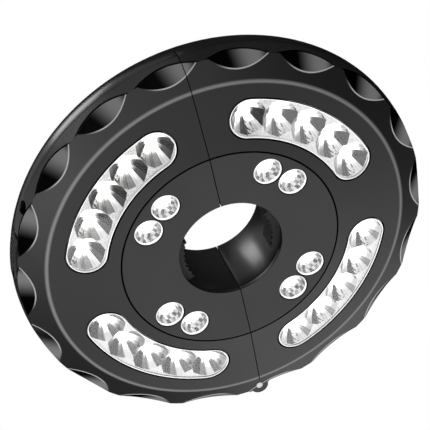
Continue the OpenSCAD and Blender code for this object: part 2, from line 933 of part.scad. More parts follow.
// Two cells that lie side by side, head to tail
module battery_cells(side) {
  color("#c98a2b") in_frame() on_side(side) for (k = [0, 1])
    translate([-cell_x - k * cell_step, 0, cell_h]) rotate([k == 0 ? -90 : 90, 0, 0])
      translate([0, 0, -cell_len / 2]) {
        cylinder(r = cell_r, h = cell_len - cell_nub);
        cylinder(r = cell_nub_r, h = cell_len);
      }
}

module battery_cells_left() { battery_cells("left"); }
module battery_cells_right() { battery_cells("right"); }

// Plates at both ends of each cell, with a bump towards the cell's nub
module contact_plates(side) {
  color("#b9bdc2") in_frame() on_side(side) for (k = [0, 1])
    translate([-cell_x - k * cell_step, 0, cell_h]) rotate(k == 0 ? 0 : 180) {
      for (s = [-1, 1]) translate([-plate_half_x, s * (bay_half - plate_t / 2) - plate_t / 2, -plate_half_z])
        cube([2 * plate_half_x, plate_t, 2 * plate_half_z]);
      translate([0, cell_len / 2 + contact_gap, 0]) rotate([-90, 0, 0])
        cylinder(r = bump_r, h = bay_half - plate_t - cell_len / 2 - contact_gap);
    }
}

module contact_plates_left() { contact_plates("left"); }
module contact_plates_right() { contact_plates("right"); }

module contact_springs(side) {
  color("#b9bdc2") in_frame() on_side(side) for (k = [0, 1])
    translate([-cell_x - k * cell_step, 0, cell_h]) rotate(k == 0 ? 0 : 180)
      translate([0, -bay_half + plate_t, 0]) rotate([-90, 0, 0])
        tube(contact_spring_r, contact_bore_r, bay_half - plate_t - cell_len / 2 - contact_gap);
}

module contact_springs_left() { contact_springs("left"); }
module contact_springs_right() { contact_springs("right"); }

// Battery door: flush plate with a finger notch, hung on a barrel along its inner edge
module battery_door(side) {
  color("#1d1d1f") in_frame() on_side(side) {
    difference() {
      translate([-door_out, -door_half, body_h - door_t])
        cube([door_out - door_axis_x, 2 * door_half, door_t]);
      translate([-door_out - over, -notch_half, body_h - door_t - over])
        cube([over + notch_depth, 2 * notch_half, door_t + 2 * over]);
    }
    translate([-door_axis_x, -door_half, door_axis_h]) rotate([-90, 0, 0])
      cylinder(r = barrel_r, h = 2 * door_half);
    door_pins(door_pin_r, door_pin_len + door_gap);
  }
}

module battery_door_left() { battery_door("left"); }
module battery_door_right() { battery_door("right"); }

module screw(shank_r, shank_len, head_r, head_h) {
  cross_half = head_r * cross_share;
  cross_w = cross_half * cross_width_share;
  translate([0, 0, -shank_len]) cylinder(r = shank_r, h = shank_len);
  difference() {
    cylinder(r = head_r, h = head_h);
    for (a = [0, 90]) rotate(a) translate([-cross_half, -cross_w, head_h / 2])
      cube([2 * cross_half, 2 * cross_w, head_h]);
  }
}

module case_screws(side) {
  color("#8d9297") in_frame() on_side(side) case_places()
    translate([0, 0, case_seat + case_seat_t]) screw(screw_r, screw_len, screw_head_r, screw_head_h);
}

module case_screws_left() { case_screws("left"); }
module case_screws_right() { case_screws("right"); }

module board_screws(side) {
  small_len = board_t + pilot_depth - pilot_gap;
  color("#8d9297") in_frame() on_side(side) {
    post_places() translate([0, 0, board_top]) screw(small_screw_r, small_len, small_head_r, small_head_h);
    inner_post_places() translate([0, 0, board_top])
      screw(small_screw_r, small_len, small_head_r, small_head_h);
  }
}

module board_screws_left() { board_screws("left"); }
module board_screws_right() { board_screws("right"); }

// Round wire with a ball at each bend, from a list of points
module wire(points, r) {
  for (i = [0 : len(points) - 2]) {
    step = points[i + 1] - points[i];
    flat = norm([step[0], step[1]]);
    translate(points[i]) rotate([0, atan2(flat, step[2]), atan2(step[1], step[0])])
      cylinder(r = r, h = norm(step));
    if (i > 0) translate(points[i]) sphere(r);
  }
}

module wires(side) {
  color("#b03a2e") in_frame() on_side(side) for (s = [-1, 1])
    wire([[-wire_x, s * wire_y, board_top], [-wire_x, s * wire_y, wire_h],
      [-bay_out - tray_t, s * wire_y, wire_h]], wire_r);
}

module wires_left() { wires("left"); }
module wires_right() { wires("right"); }

module link_wire() {
  color("#b03a2e") in_frame()
    wire([[-link_x, link_y, board_top], [-link_x, link_y, link_h], [link_x, link_y, link_h],
      [link_x, link_y, board_top]], link_r);
}

// Raised frame in the side wall that the mode slider runs in
module switch_frame() {
  color("#222224") in_frame() difference() {
    intersection() {
      side_ring(frame_in, frame_out);
      side_prism(slider_at, slot_len + 2 * frame_rim, slot_h + 2 * frame_rim, body_r / 2);
    }
    side_prism(slider_at, slot_len, slot_h, body_r / 2);
  }
}

// Ribbed slider, held behind the frame by its wider base, with a stem into the slide switch
module mode_slider() {
  slider_dir = slider_at + slider_shift;
  color("#77777a") in_frame() {
    difference() {
      intersection() {
        side_ring(slider_in, slider_out);
        side_prism(slider_dir, slider_len, slider_h, body_r / 2);
      }
      for (k = [0 : rib_count - 1])
        rotate(slider_dir + (k - (rib_count - 1) / 2) * rib_pitch / body_r * 180 / PI)
          translate([slider_out - groove_depth, -groove_w / 2, part_h - slot_h])
            cube([over, groove_w, 2 * slot_h]);
    }
    intersection() {
      side_ring(slider_in, slider_lip_in);
      side_prism(slider_dir, slider_len + 2 * slider_lip, slider_h + 2 * slider_lip, body_r / 2);
    }
    rotate(slider_dir) translate([slider_in - stem_len, -stem_w / 2, switch_h - stem_h / 2])
      cube([stem_len + slider_lip_in - slider_in, stem_w, stem_h]);
  }
}

module slide_switch() {
  color("#4a4a4c") in_frame() rotate(slider_at) difference() {
    translate([switch_out - switch_deep, -switch_len / 2, switch_h - switch_tall / 2])
      cube([switch_deep, switch_len, switch_tall]);
    translate([switch_out - stem_len, -switch_slot_w / 2, switch_h - switch_slot_h / 2])
      cube([2 * stem_len, switch_slot_w, switch_slot_h]);
  }
}

module power_jack() {
  color("#161617") in_frame() rotate(jack_at) {
    difference() {
      translate([jack_out - jack_deep, -jack_wide / 2, jack_low])
        cube([jack_deep, jack_wide, control_h - jack_low]);
      translate([jack_out - jack_clear, 0, jack_h]) rotate([0, 90, 0])
        cylinder(r = jack_r, h = jack_clear + over);
      translate([jack_out - jack_deep + jack_floor, 0, jack_h]) rotate([0, 90, 0])
        cylinder(r = jack_inner_r, h = jack_deep);
      translate([hollow_line + jack_low - jack_gap, 0, jack_low]) rotate([0, -45, 0])
        translate([-jack_deep, -jack_wide, -jack_deep])
          cube([2 * jack_deep, 2 * jack_wide, jack_deep]);
    }
    translate([jack_out - jack_deep + jack_floor / 2, 0, jack_h]) rotate([0, 90, 0])
      cylinder(r = jack_pin_r, h = jack_deep - jack_clear - jack_floor / 2 - jack_pin_gap);
  }
}

// Small board that carries the slide switch and the jack on its underside
module control_board() {
  mid_dir = (slider_at + jack_at) / 2;
  color("#2f6b46") in_frame() {
    translate([0, 0, control_h]) rotate(mid_dir - control_turn / 2)
      rotate_extrude(angle = control_turn) translate([control_in, 0])
        square([switch_out - over / 2 - control_in, board_t]);
    rotate(mid_dir) translate([control_in + chip_h, -chip_h * 2, control_h + board_t])
      cube([chip_h * 4, chip_h * 4, chip_h]);
  }
}

module hinge_pin() {
  color("#a4a8ad") in_frame() translate([0, hinge_y, low_knuckle[0]]) {
    cylinder(r = pin_r, h = top_knuckle[1] - low_knuckle[0]);
    translate([0, 0, top_knuckle[1] - low_knuckle[0]]) cylinder(r = pin_head_r, h = pin_head_h);
  }
}

// Hinge spring: one unbroken wire, with a straight stretch up and down at its ends
module torsion_spring() {
  last = coil_turns * coil_rings;
  low_end = coil_point(0) - [0, 0, coil_wire];
  high_end = [coil_point(coil_turns)[0], coil_point(coil_turns)[1], top_knuckle[0]];
  path = concat([low_end], coil_points, [high_end]);
  count = len(path);
  rings = [for (i = [0 : count - 1])
    let (
      ahead = path[min(i + 1, count - 1)] - path[max(i - 1, 0)],
      along = i == 0 || i == count - 1 ? [0, 0, 1] : ahead / norm(ahead),
      radial = [path[i][0], path[i][1], 0] / norm([path[i][0], path[i][1]]),
      side = cross(along, radial),
      out = cross(side, along)
    )
    for (j = [0 : coil_sides - 1])
      let (turn = 360 * j / coil_sides)
      path[i] + coil_wire / 2 * (cos(turn) * out / norm(out) + sin(turn) * side / norm(side))
  ];
  walls = [for (i = [0 : count - 2]) for (j = [0 : coil_sides - 1])
    let (
      a = i * coil_sides + j,
      b = i * coil_sides + (j + 1) % coil_sides
    )
    each [[a, a + coil_sides, b + coil_sides], [a, b + coil_sides, b]]
  ];
  base = (count - 1) * coil_sides;
  caps = concat(
    [for (j = [1 : coil_sides - 2]) [0, j, j + 1]],
    [for (j = [1 : coil_sides - 2]) [base, base + j + 1, base + j]]
  );
  color("#b9bdc2") in_frame() translate([0, hinge_y, 0]) polyhedron(rings, concat(walls, caps));
}

housing_left();
housing_right();
center_panel_left();
center_panel_right();
top_cover_left();
top_cover_right();
arc_lens_left_front();
arc_lens_left_rear();
arc_lens_right_front();
arc_lens_right_rear();
arc_reflector_left_front();
arc_reflector_left_rear();
arc_reflector_right_front();
arc_reflector_right_rear();
spot_lenses_left();
spot_lenses_right();
spot_reflectors_left();
spot_reflectors_right();
led_board_left();
led_board_right();
arc_leds_left();
arc_leds_right();
spot_leds_left();
spot_leds_right();
jaw_left();
jaw_right();
jaw_pad_left();
jaw_pad_right();
jaw_springs_left();
jaw_springs_right();
jaw_guide_left();
jaw_guide_right();
battery_tray_left();
battery_tray_right();
battery_cells_left();
battery_cells_right();
contact_springs_left();
contact_springs_right();
contact_plates_left();
contact_plates_right();
battery_door_left();
battery_door_right();
case_screws_left();
case_screws_right();
board_screws_left();
board_screws_right();
wires_left();
wires_right();
link_wire();
switch_frame();
mode_slider();
slide_switch();
control_board();
power_jack();
hinge_pin();
torsion_spring();
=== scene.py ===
# %% [markdown]
# This lesson finishes a cordless umbrella light: two half rings that clip round a pole, with four
# curved windows and eight round spots on the face that looks down. The shells, the jaws and the
# small fittings come ready made as the fixed frame. What is modelled here is what light plays in:
# the pleated reflector cups, the faceted lenses, the clear covers and the glowing diodes.

# %% Load the frame
import math

import bmesh
import bpy
from mathutils import Matrix, Vector


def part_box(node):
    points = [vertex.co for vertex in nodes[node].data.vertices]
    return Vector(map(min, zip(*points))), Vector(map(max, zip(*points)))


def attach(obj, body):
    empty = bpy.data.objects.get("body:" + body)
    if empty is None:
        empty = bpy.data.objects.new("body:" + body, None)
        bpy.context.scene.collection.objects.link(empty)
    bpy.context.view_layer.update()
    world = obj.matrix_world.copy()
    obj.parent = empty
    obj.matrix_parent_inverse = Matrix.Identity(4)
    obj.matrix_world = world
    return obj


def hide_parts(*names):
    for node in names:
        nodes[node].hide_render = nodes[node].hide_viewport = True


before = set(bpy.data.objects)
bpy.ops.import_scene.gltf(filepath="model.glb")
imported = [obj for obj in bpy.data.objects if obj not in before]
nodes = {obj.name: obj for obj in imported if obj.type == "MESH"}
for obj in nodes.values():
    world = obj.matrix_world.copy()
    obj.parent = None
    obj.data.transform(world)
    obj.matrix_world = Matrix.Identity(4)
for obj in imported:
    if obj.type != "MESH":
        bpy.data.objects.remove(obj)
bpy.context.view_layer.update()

# %% [markdown]
# Real sizes are easiest to read in millimetres, so one value turns them into metres. The lamp's
# own origin lies inside the pole passage, at the middle height of the jaw pads, and the light
# face is lower down. Heights below are counted up from that face.

# %% Sizes of the lamp
MM = 0.001
face_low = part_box("center_panel_left")[0][2]
panel_r = 50.0 * MM
ridge_r = 82.5 * MM
ridge_h = 5.3 * MM
window_r = 65.5 * MM
window_half = 9.3 * MM
light_step = math.radians(13)
lights_in_window = 5
spot_ring_r = 41.1 * MM
spot_r = 6.5 * MM
spot_step = math.radians(19.5)
quarter = math.radians(90)
window_reach = light_step * (lights_in_window - 1) / 2
window_directions = {
    "left_front": math.radians(225),
    "left_rear": math.radians(135),
    "right_front": math.radians(315),
    "right_rear": math.radians(45),
}


def face_height(radius):
    """Height of the sloping face above the flat inner ring."""
    return ridge_h * (radius - panel_r) / (ridge_r - panel_r)


def polar(radius, angle):
    """A flat point at a radius and direction round the pole."""
    return Vector((radius * math.cos(angle), radius * math.sin(angle)))


print("light face at", round(face_low / MM, 2), "mm below the middle of the jaw pads")

# %% [markdown]
# The photograph looks up at the face from below and is turned on its side a little, so the camera
# stands below the lamp and rolls. A long lens keeps the circles nearly even ellipses. Three
# angles, a distance and the point on the face in the middle of the picture say all of it.

# %% Camera
view_azimuth = math.radians(-12.494)
view_elevation = math.radians(-50.936)
view_roll = math.radians(29.419)
view_distance = 1086.5 * MM
view_angle = math.radians(9.855)
view_aim = Vector((-3.407 * MM, -20.843 * MM, face_low))
nearest_seen, farthest_seen = 0.05, 60

back = Vector((
    math.sin(view_azimuth) * math.cos(view_elevation),
    -math.cos(view_azimuth) * math.cos(view_elevation),
    math.sin(view_elevation),
))
right = Vector((0, 0, 1)).cross(back).normalized()
up = back.cross(right)
turned = Matrix.Rotation(-view_roll, 3, back)
right, up = turned @ right, turned @ up
camera_data = bpy.data.cameras.new("photo_camera")
camera_data.angle = view_angle
camera_data.clip_start = nearest_seen
camera_data.clip_end = farthest_seen
camera = bpy.data.objects.new("photo_camera", camera_data)
camera.matrix_world = Matrix.Translation(view_aim + back * view_distance) @ Matrix((
    (right.x, up.x, back.x), (right.y, up.y, back.y), (right.z, up.z, back.z))).to_4x4()
bpy.context.scene.collection.objects.link(camera)
bpy.context.scene.camera = camera
bpy.context.scene.view_settings.view_transform = "Standard"
print("camera at", tuple(round(c, 3) for c in camera.matrix_world.translation))

# %% [markdown]
# A few helpers serve every finish. Colours are given as the hex values of a screen and have to be
# turned linear for the renderer. Shader nodes are added by one small function, which sets their
# options and links their inputs in one go. The others start a material and give it a grain.

# %% Colour and shader helpers
def hex_colour(text):
    """An sRGB hex value as a linear colour with alpha."""
    parts = [int(text[i:i + 2], 16) / 255 for i in (1, 3, 5)]
    return [c / 12.92 if c <= 0.04045 else ((c + 0.055) / 1.055) ** 2.4 for c in parts] + [1.0]


def add_node(tree, kind, settings=None, inputs=None):
    """Adds a shader node, sets its options, and gives its inputs values or links."""
    node = tree.nodes.new(kind)
    for name, value in (settings or {}).items():
        setattr(node, name, value)
    for name, value in (inputs or {}).items():
        if isinstance(value, bpy.types.NodeSocket):
            tree.links.new(value, node.inputs[name])
        else:
            node.inputs[name].default_value = value
    return node


def new_material(name, colour, **shader_inputs):
    """A material with one principled shader of a colour, whose sockets take the given values."""
    material = bpy.data.materials.new(name)
    material.use_nodes = True
    tree = material.node_tree
    tree.nodes.clear()
    shader = add_node(tree, "ShaderNodeBsdfPrincipled", inputs={
        "Base Color": hex_colour(colour), **shader_inputs})
    add_node(tree, "ShaderNodeOutputMaterial", inputs={"Surface": shader.outputs["BSDF"]})
    return material, tree, shader


def object_noise(tree, size_mm, detail=2.0):
    """Noise fixed to the piece, whose grains are about as wide as the given size."""
    where = add_node(tree, "ShaderNodeTexCoord").outputs["Object"]
    return add_node(tree, "ShaderNodeTexNoise", inputs={
        "Vector": where, "Scale": 1 / (size_mm * MM), "Detail": detail})


def add_bump(tree, shader, height, depth_mm, strength):
    """Lets a height pattern tilt the light on a shader, with a depth in millimetres."""
    bump = add_node(tree, "ShaderNodeBump", inputs={
        "Height": height, "Distance": depth_mm * MM, "Strength": strength})
    tree.links.new(bump.outputs["Normal"], shader.inputs["Normal"])


def grained_material(name, colour, grain_mm, depth_mm, strength, **shader_inputs):
    """A plain finish with one grain of bumps, its width and depth in millimetres."""
    material, tree, shader = new_material(name, colour, **shader_inputs)
    add_bump(tree, shader, object_noise(tree, grain_mm).outputs["Fac"], depth_mm, strength)
    return material


white_light = {"Emission Color": (1, 1, 1, 1)}
print("half grey on the screen is", round(hex_colour("#808080")[0], 2), "as linear light")

# %% [markdown]
# The face, the inner ring and the slider are ABS from a mould with a fine spark texture. That
# grain breaks the shine up, so the plastic looks charcoal and not black where light grazes it.
# Its pits are about a third of a millimetre wide. The upper shells come from a polished mould and
# keep a clear shine.

# %% Moulded plastics
abs_ior = 1.53
grain_strength = 0.6


def textured_abs(name, colour, roughness, grain_mm=0.35):
    """Matt charcoal ABS with the fine grain of a spark-eroded mould and some duller patches."""
    material, tree, shader = new_material(name, colour, Roughness=roughness, IOR=abs_ior)
    grain = object_noise(tree, grain_mm, detail=3.0)
    patch_mm, spread = 18.0, 0.04
    tone = add_node(tree, "ShaderNodeMapRange", inputs={
        "Value": object_noise(tree, patch_mm).outputs["Fac"],
        "To Min": roughness - spread, "To Max": roughness + spread})
    tree.links.new(tone.outputs["Result"], shader.inputs["Roughness"])
    add_bump(tree, shader, grain.outputs["Fac"], depth_mm=0.02, strength=grain_strength)
    return material


def polished_abs(name, colour, roughness):
    """Black ABS from a polished mould, with faint long waves from cooling."""
    material, tree, shader = new_material(name, colour, Roughness=roughness, IOR=abs_ior)
    waves = object_noise(tree, 25.0, detail=1.0)
    add_bump(tree, shader, waves.outputs["Fac"], depth_mm=0.05, strength=0.3)
    return material


panel_abs = textured_abs("inner_ring_abs", "#121213", 0.48)
shell_abs = polished_abs("polished_black_abs", "#141415", 0.26)
inner_abs = textured_abs("plain_black_abs", "#101011", 0.45, 0.5)
slider_abs = textured_abs("slider_abs", "#343435", 0.42)
print("plastics:", panel_abs.name, shell_abs.name, inner_abs.name)

# %% [markdown]
# Shaders can do sums for every point of a surface. These helpers add the nodes for one sum, for a
# smooth step between two values, for a range, and for a mix of two colours.

# %% Sums in a shader
def calculate(tree, operation, *values, clamp=False):
    """One math node, with numbers or links as its values."""
    node = add_node(tree, "ShaderNodeMath", {"operation": operation, "use_clamp": clamp},
                    dict(enumerate(values)))
    return node.outputs[0]


def combine(tree, operation, first, *others):
    """One math node after another, such as for the greatest of many values."""
    for other in others:
        first = calculate(tree, operation, first, other)
    return first


def times(tree, *factors):
    """The product of two or more values."""
    return combine(tree, "MULTIPLY", *factors)


def minus(tree, value, less):
    """One value less another."""
    return calculate(tree, "SUBTRACT", value, less)


def smooth_step(tree, value, start, end, low=0.0, high=1.0):
    """Goes smoothly from low to high while the value goes from start to end."""
    node = add_node(tree, "ShaderNodeMapRange", {"interpolation_type": "SMOOTHSTEP"}, {
        "Value": value, "From Min": start, "From Max": end, "To Min": low, "To Max": high})
    return node.outputs["Result"]


def fade(tree, value, limits):
    """One up to the first limit, then smoothly down to nought at the second."""
    return smooth_step(tree, value, *limits, 1, 0)


def between(tree, value, low, high):
    """One where the value lies between two limits, else nought."""
    return times(tree, calculate(tree, "GREATER_THAN", value, low),
                 calculate(tree, "LESS_THAN", value, high))


def mix_colours(tree, share, low, high):
    """The low colour at a share of nought, the high one at a share of one."""
    node = add_node(tree, "ShaderNodeMix", {"data_type": "RGBA"}, {0: share, 6: low, 7: high})
    return node.outputs[2]


def main_shader(material):
    """A material's principled shader."""
    return next(node for node in material.node_tree.nodes if node.type == "BSDF_PRINCIPLED")


print("shader helpers ready, such as", calculate.__name__, "and", smooth_step.__name__)

# %% [markdown]
# The lamp is round, so a point on it is best told by its distance from the pole, its direction
# and its height. Windows, spots and scoops repeat in equal steps. Folding the direction into one
# step means that one of each is enough to describe them all.

# %% Where a point lies
def long_side(tree, a, b):
    """The long side of a right triangle with these short sides."""
    squares = [times(tree, side, side) for side in (a, b)]
    return calculate(tree, "SQRT", calculate(tree, "ADD", *squares))


def around_pole(tree):
    """Distance from the pole's axis, direction round it and height of a point on a piece."""
    where = add_node(tree, "ShaderNodeTexCoord").outputs["Object"]
    split = add_node(tree, "ShaderNodeSeparateXYZ", inputs={"Vector": where})
    x, y, z = (split.outputs[axis] for axis in "XYZ")
    return long_side(tree, x, y), calculate(tree, "ARCTAN2", y, x), z


def folded(tree, angle, first, step):
    """How far a direction is turned from the nearest of many equal steps."""
    turned = calculate(tree, "ADD", angle, math.tau - first + step / 2)
    return minus(tree, calculate(tree, "FLOORED_MODULO", turned, step), step / 2)


def distance_from(tree, radius, turn, ring_r):
    """How far a point is from a place on a ring, if it is turned so far from that place."""
    sideways = times(tree, radius, calculate(tree, "SINE", turn))
    outward = calculate(tree, "MULTIPLY_ADD", radius, calculate(tree, "COSINE", turn), -ring_r)
    return long_side(tree, sideways, outward)


print("windows and spots repeat every", round(math.degrees(quarter)), "degrees")

# %% [markdown]
# The rim has scoops all round, as a grip. Each is cut by a cylinder that leans outwards at 45
# degrees. The distance from its axis is exactly the scoop's radius on the scoop's own surface, and
# a little more just past its edge, so one sum tells both the scoop and the line along its edge.

# %% Scoops of the rim
scoop_r = 66.0 * MM
scoop_depth = 1.95 * MM
scoop_edge_r = 93.5 * MM
scoop_edge_h = 10.4 * MM
scoop_lean = math.sqrt(0.5)
scoop_axis_r = scoop_edge_r + (scoop_r - scoop_depth) * scoop_lean
scoop_axis_h = scoop_edge_h - (scoop_r - scoop_depth) * scoop_lean
scoop_first, scoop_step = math.radians(5), math.radians(20)


def scoop_place(tree, radius, angle, z):
    """How far across the nearest scoop a point is, and how far past the scoop's surface."""
    local = folded(tree, angle, scoop_first, scoop_step)
    across = times(tree, radius, calculate(tree, "SINE", local))
    outward = times(tree, radius, calculate(tree, "COSINE", local))
    lean = minus(tree, minus(tree, outward, scoop_axis_r), minus(tree, z, face_low + scoop_axis_h))
    lean = times(tree, lean, scoop_lean)
    return across, minus(tree, long_side(tree, across, lean), scoop_r)


print("scoops of radius", scoop_r / MM, "mm every", round(math.degrees(scoop_step)), "degrees")

# %% [markdown]
# A scoop is polished, so in the photograph it mirrors a lamp at one end and the dark at the other.
# That sheen is painted into its colour here and stays fixed to the piece, so it doesn't move with
# the lamps. Each pair of limits says where a smooth step starts and where it ends.

# %% Sheen of the scoops
sheen_rise = (-4 * MM, 7 * MM)
sheen_fall = (9 * MM, 14 * MM)
sheen_middle_h = 10 * MM
sheen_tilt = 0.3
turned_side = (math.radians(115), math.radians(175))
open_side = (math.radians(75), math.radians(115))
open_sheen = 0.9


def scoop_sheen(tree, across, angle, z):
    """How much painted sheen each point of a scoop gets, from nought to one."""
    backwards = between(tree, angle, *turned_side)
    along = times(tree, across, calculate(tree, "MULTIPLY_ADD", backwards, -2, 1))
    tilted = calculate(tree, "MULTIPLY_ADD", minus(tree, z, face_low + sheen_middle_h),
                       sheen_tilt, along)
    sheen = times(tree, smooth_step(tree, tilted, *sheen_rise), fade(tree, along, sheen_fall))
    in_the_open = times(tree, between(tree, angle, *open_side), open_sheen)
    return calculate(tree, "MAXIMUM", sheen, in_the_open)


print("the sheen is full", sheen_rise[1] / MM, "mm past the middle of a scoop")

# %% [markdown]
# Fine painted lines set the parts of the face off: a painted highlight along each scoop's edge, a
# line of painted shade where a scoop meets the side wall, and painted shade in the gaps at the
# inner ring's seam and round the windows. The ridge has a painted highlight, paler on one side of
# the lamp. Limits are distances, or for off_the_face how far a surface faces up.

# %% Lines on the housing
scoop_skin = (0.05 * MM, 0.1 * MM)
edge_line_end = (0.22 * MM, 0.34 * MM)
edge_line_light = (-11 * MM, -3 * MM)
wall_line_end = (0.55 * MM, 0.85 * MM)
off_the_face = (-0.4, -0.3)
seam_end = (panel_r + 0.45 * MM, panel_r + 0.75 * MM)
groove_end = (window_half + 0.25 * MM, window_half + 0.45 * MM)
ridge_end = (0.1 * MM, 1.25 * MM)
ridge_lit_side = math.radians(215)
ridge_least, ridge_gain = 0.84, 0.16


def painted_edge_highlight(tree, across, past_edge, looks_down):
    """A painted highlight along a scoop's edge on the face, fading out towards one end of the
    scoop.
    """
    return times(tree, smooth_step(tree, past_edge, *scoop_skin),
                 fade(tree, past_edge, edge_line_end), looks_down,
                 smooth_step(tree, across, *edge_line_light))


def painted_shade_lines(tree, radius, angle, past_edge, facing):
    """Painted shade lines: scoop to side wall, seam of the inner ring, and grooves of the windows.
    """
    wall_line = times(tree, smooth_step(tree, past_edge, *scoop_skin),
                      fade(tree, past_edge, wall_line_end),
                      smooth_step(tree, facing, *off_the_face))
    turn = calculate(tree, "ABSOLUTE", folded(tree, angle, quarter / 2, quarter))
    past_end = calculate(tree, "MAXIMUM", minus(tree, turn, window_reach), 0)
    groove = fade(tree, distance_from(tree, radius, past_end, window_r), groove_end)
    return combine(tree, "MAXIMUM", wall_line, fade(tree, radius, seam_end), groove)


def painted_ridge_highlight(tree, radius, angle, looks_down):
    """How strong the painted highlight on the ridge is."""
    off_ridge = calculate(tree, "ABSOLUTE", minus(tree, radius, ridge_r))
    lit_side = calculate(tree, "COSINE", minus(tree, angle, ridge_lit_side))
    return times(tree, fade(tree, off_ridge, ridge_end), looks_down,
                 calculate(tree, "MULTIPLY_ADD", lit_side, ridge_gain, ridge_least))


print("the ridge is", 2 * ridge_end[1] / MM, "mm wide")

# %% [markdown]
# The housing has several finishes in one moulding: the matt face, the polished scoops, the satin
# side wall and the wall of the pole hole. Where it is glossy the grain is weaker, because a
# polished patch of a mould has no spark texture. The mirror is weaker in the scoops, whose sheen
# is painted, and in the pole hole, which is dark in the photograph.

# %% Finish of the housing
facing_down = (-0.8, -0.7)
facing_sideways = (0.2, 0.3)
pole_wall_r = 30 * MM
polished_roughness = 0.26
polished_strength = 0.15
plain_mirror = 0.5
dark_mirror = 0.8


def finish_housing(material):
    """Gives the housing's plastic its zones, painted highlights, painted shade lines and painted
    sheen.
    """
    tree, shader = material.node_tree, main_shader(material)
    grain_roughness = shader.inputs["Roughness"].links[0].from_socket
    grain_bump = shader.inputs["Normal"].links[0].from_node
    radius, angle, z = around_pole(tree)
    facing = add_node(tree, "ShaderNodeSeparateXYZ", inputs={
        "Vector": add_node(tree, "ShaderNodeTexCoord").outputs["Normal"]}).outputs["Z"]
    looks_down = fade(tree, facing, facing_down)
    upright = fade(tree, calculate(tree, "ABSOLUTE", facing), facing_sideways)
    side_wall = times(tree, upright, calculate(tree, "GREATER_THAN", radius, ridge_r))
    pole_wall = times(tree, upright, calculate(tree, "LESS_THAN", radius, pole_wall_r))
    across, past_edge = scoop_place(tree, radius, angle, z)
    in_scoop = fade(tree, calculate(tree, "ABSOLUTE", past_edge), scoop_skin)
    lines = painted_shade_lines(tree, radius, angle, past_edge, facing)

    colour = shader.inputs["Base Color"].default_value[:]
    # The ridge and the scoops' edges get painted highlights and the dark lines painted shade; the
    # side wall has a tone of its own.
    for share, paint in (
            (painted_ridge_highlight(tree, radius, angle, looks_down), "#8c8c8c"),
            (painted_edge_highlight(tree, across, past_edge, looks_down), "#c4c4c4"),
            (side_wall, "#1a1a1a"), (lines, "#000000")):
        colour = mix_colours(tree, share, colour, hex_colour(paint))
    # Inside a scoop the colour is a painted reflection, from near black to grey.
    scoop = mix_colours(tree, scoop_sheen(tree, across, angle, z),
                        hex_colour("#030303"), hex_colour("#8a8a8a"))
    tree.links.new(mix_colours(tree, in_scoop, colour, scoop), shader.inputs["Base Color"])

    gloss = calculate(tree, "MAXIMUM", in_scoop, side_wall)
    rough = add_node(tree, "ShaderNodeMix", {"data_type": "FLOAT"}, {
        0: gloss, 2: grain_roughness, 3: polished_roughness})
    tree.links.new(rough.outputs[0], shader.inputs["Roughness"])
    tree.links.new(calculate(tree, "MULTIPLY_ADD", gloss, polished_strength - grain_strength,
                             grain_strength), grain_bump.inputs["Strength"])
    dark = times(tree, calculate(tree, "MAXIMUM", in_scoop, pole_wall), dark_mirror)
    tree.links.new(calculate(tree, "MULTIPLY_ADD", calculate(tree, "MAXIMUM", lines, dark),
                             -plain_mirror, plain_mirror), shader.inputs["Specular IOR Level"])


housing_abs = textured_abs("spark_textured_housing_abs", "#171718", 0.46)
finish_housing(housing_abs)
print("the housing's finish takes", len(housing_abs.node_tree.nodes), "nodes")

# %% [markdown]
# Each spot light sits in its hole with a little room round it, and painted shade draws that gap as
# a thin black ring on the inner ring of the face.

# %% Gaps round the spots
gap_end = (spot_r + 0.2 * MM, spot_r + 0.5 * MM)


def add_spot_gap_shade(material):
    """Paints shade as a thin dark ring round each spot light, where the gap is."""
    tree, shader = material.node_tree, main_shader(material)
    radius, angle, _ = around_pole(tree)
    turn = calculate(tree, "ABSOLUTE", folded(tree, angle, quarter / 2, quarter))
    turn = minus(tree, turn, spot_step / 2)
    gap = fade(tree, distance_from(tree, radius, turn, spot_ring_r), gap_end)
    colour = shader.inputs["Base Color"].default_value[:]
    tree.links.new(mix_colours(tree, gap, colour, hex_colour("#000000")),
                   shader.inputs["Base Color"])
    tree.links.new(calculate(tree, "MULTIPLY_ADD", gap, -plain_mirror, plain_mirror),
                   shader.inputs["Specular IOR Level"])


add_spot_gap_shade(panel_abs)
print("a black ring ends", round((gap_end[1] - spot_r) / MM, 1), "mm outside each spot")

# %% [markdown]
# The rest are small fittings. Nickel-plated steel keeps the default index of a metal, rubber is
# nearly all diffuse, and the circuit boards have a solder mask like thin enamel.

# %% Fittings
# Each has a name, a colour, its grain's width and depth in millimetres, and the grain's strength
plated_steel = grained_material(
    "nickel_plated_steel", "#b4b5b6", 0.6, 0.01, 0.4, Metallic=1.0, Roughness=0.3)
pad_rubber = grained_material(
    "moulded_rubber", "#0c0c0c", 0.5, 0.03, 0.7, Roughness=0.7, IOR=1.52)
white_mask = grained_material("white_solder_mask", "#e4e4de", 1.5, 0.01, 0.3, Roughness=0.35)
green_mask = grained_material("green_solder_mask", "#1d5a38", 1.5, 0.01, 0.3, Roughness=0.35)
cell_jacket = grained_material("printed_cell_jacket", "#a8672a", 6.0, 0.02, 0.2, Roughness=0.25)
wire_cover = grained_material("red_wire_cover", "#8c1f16", 0.8, 0.02, 0.3, Roughness=0.4)
print("fittings:", plated_steel.name, pad_rubber.name, white_mask.name, cell_jacket.name)

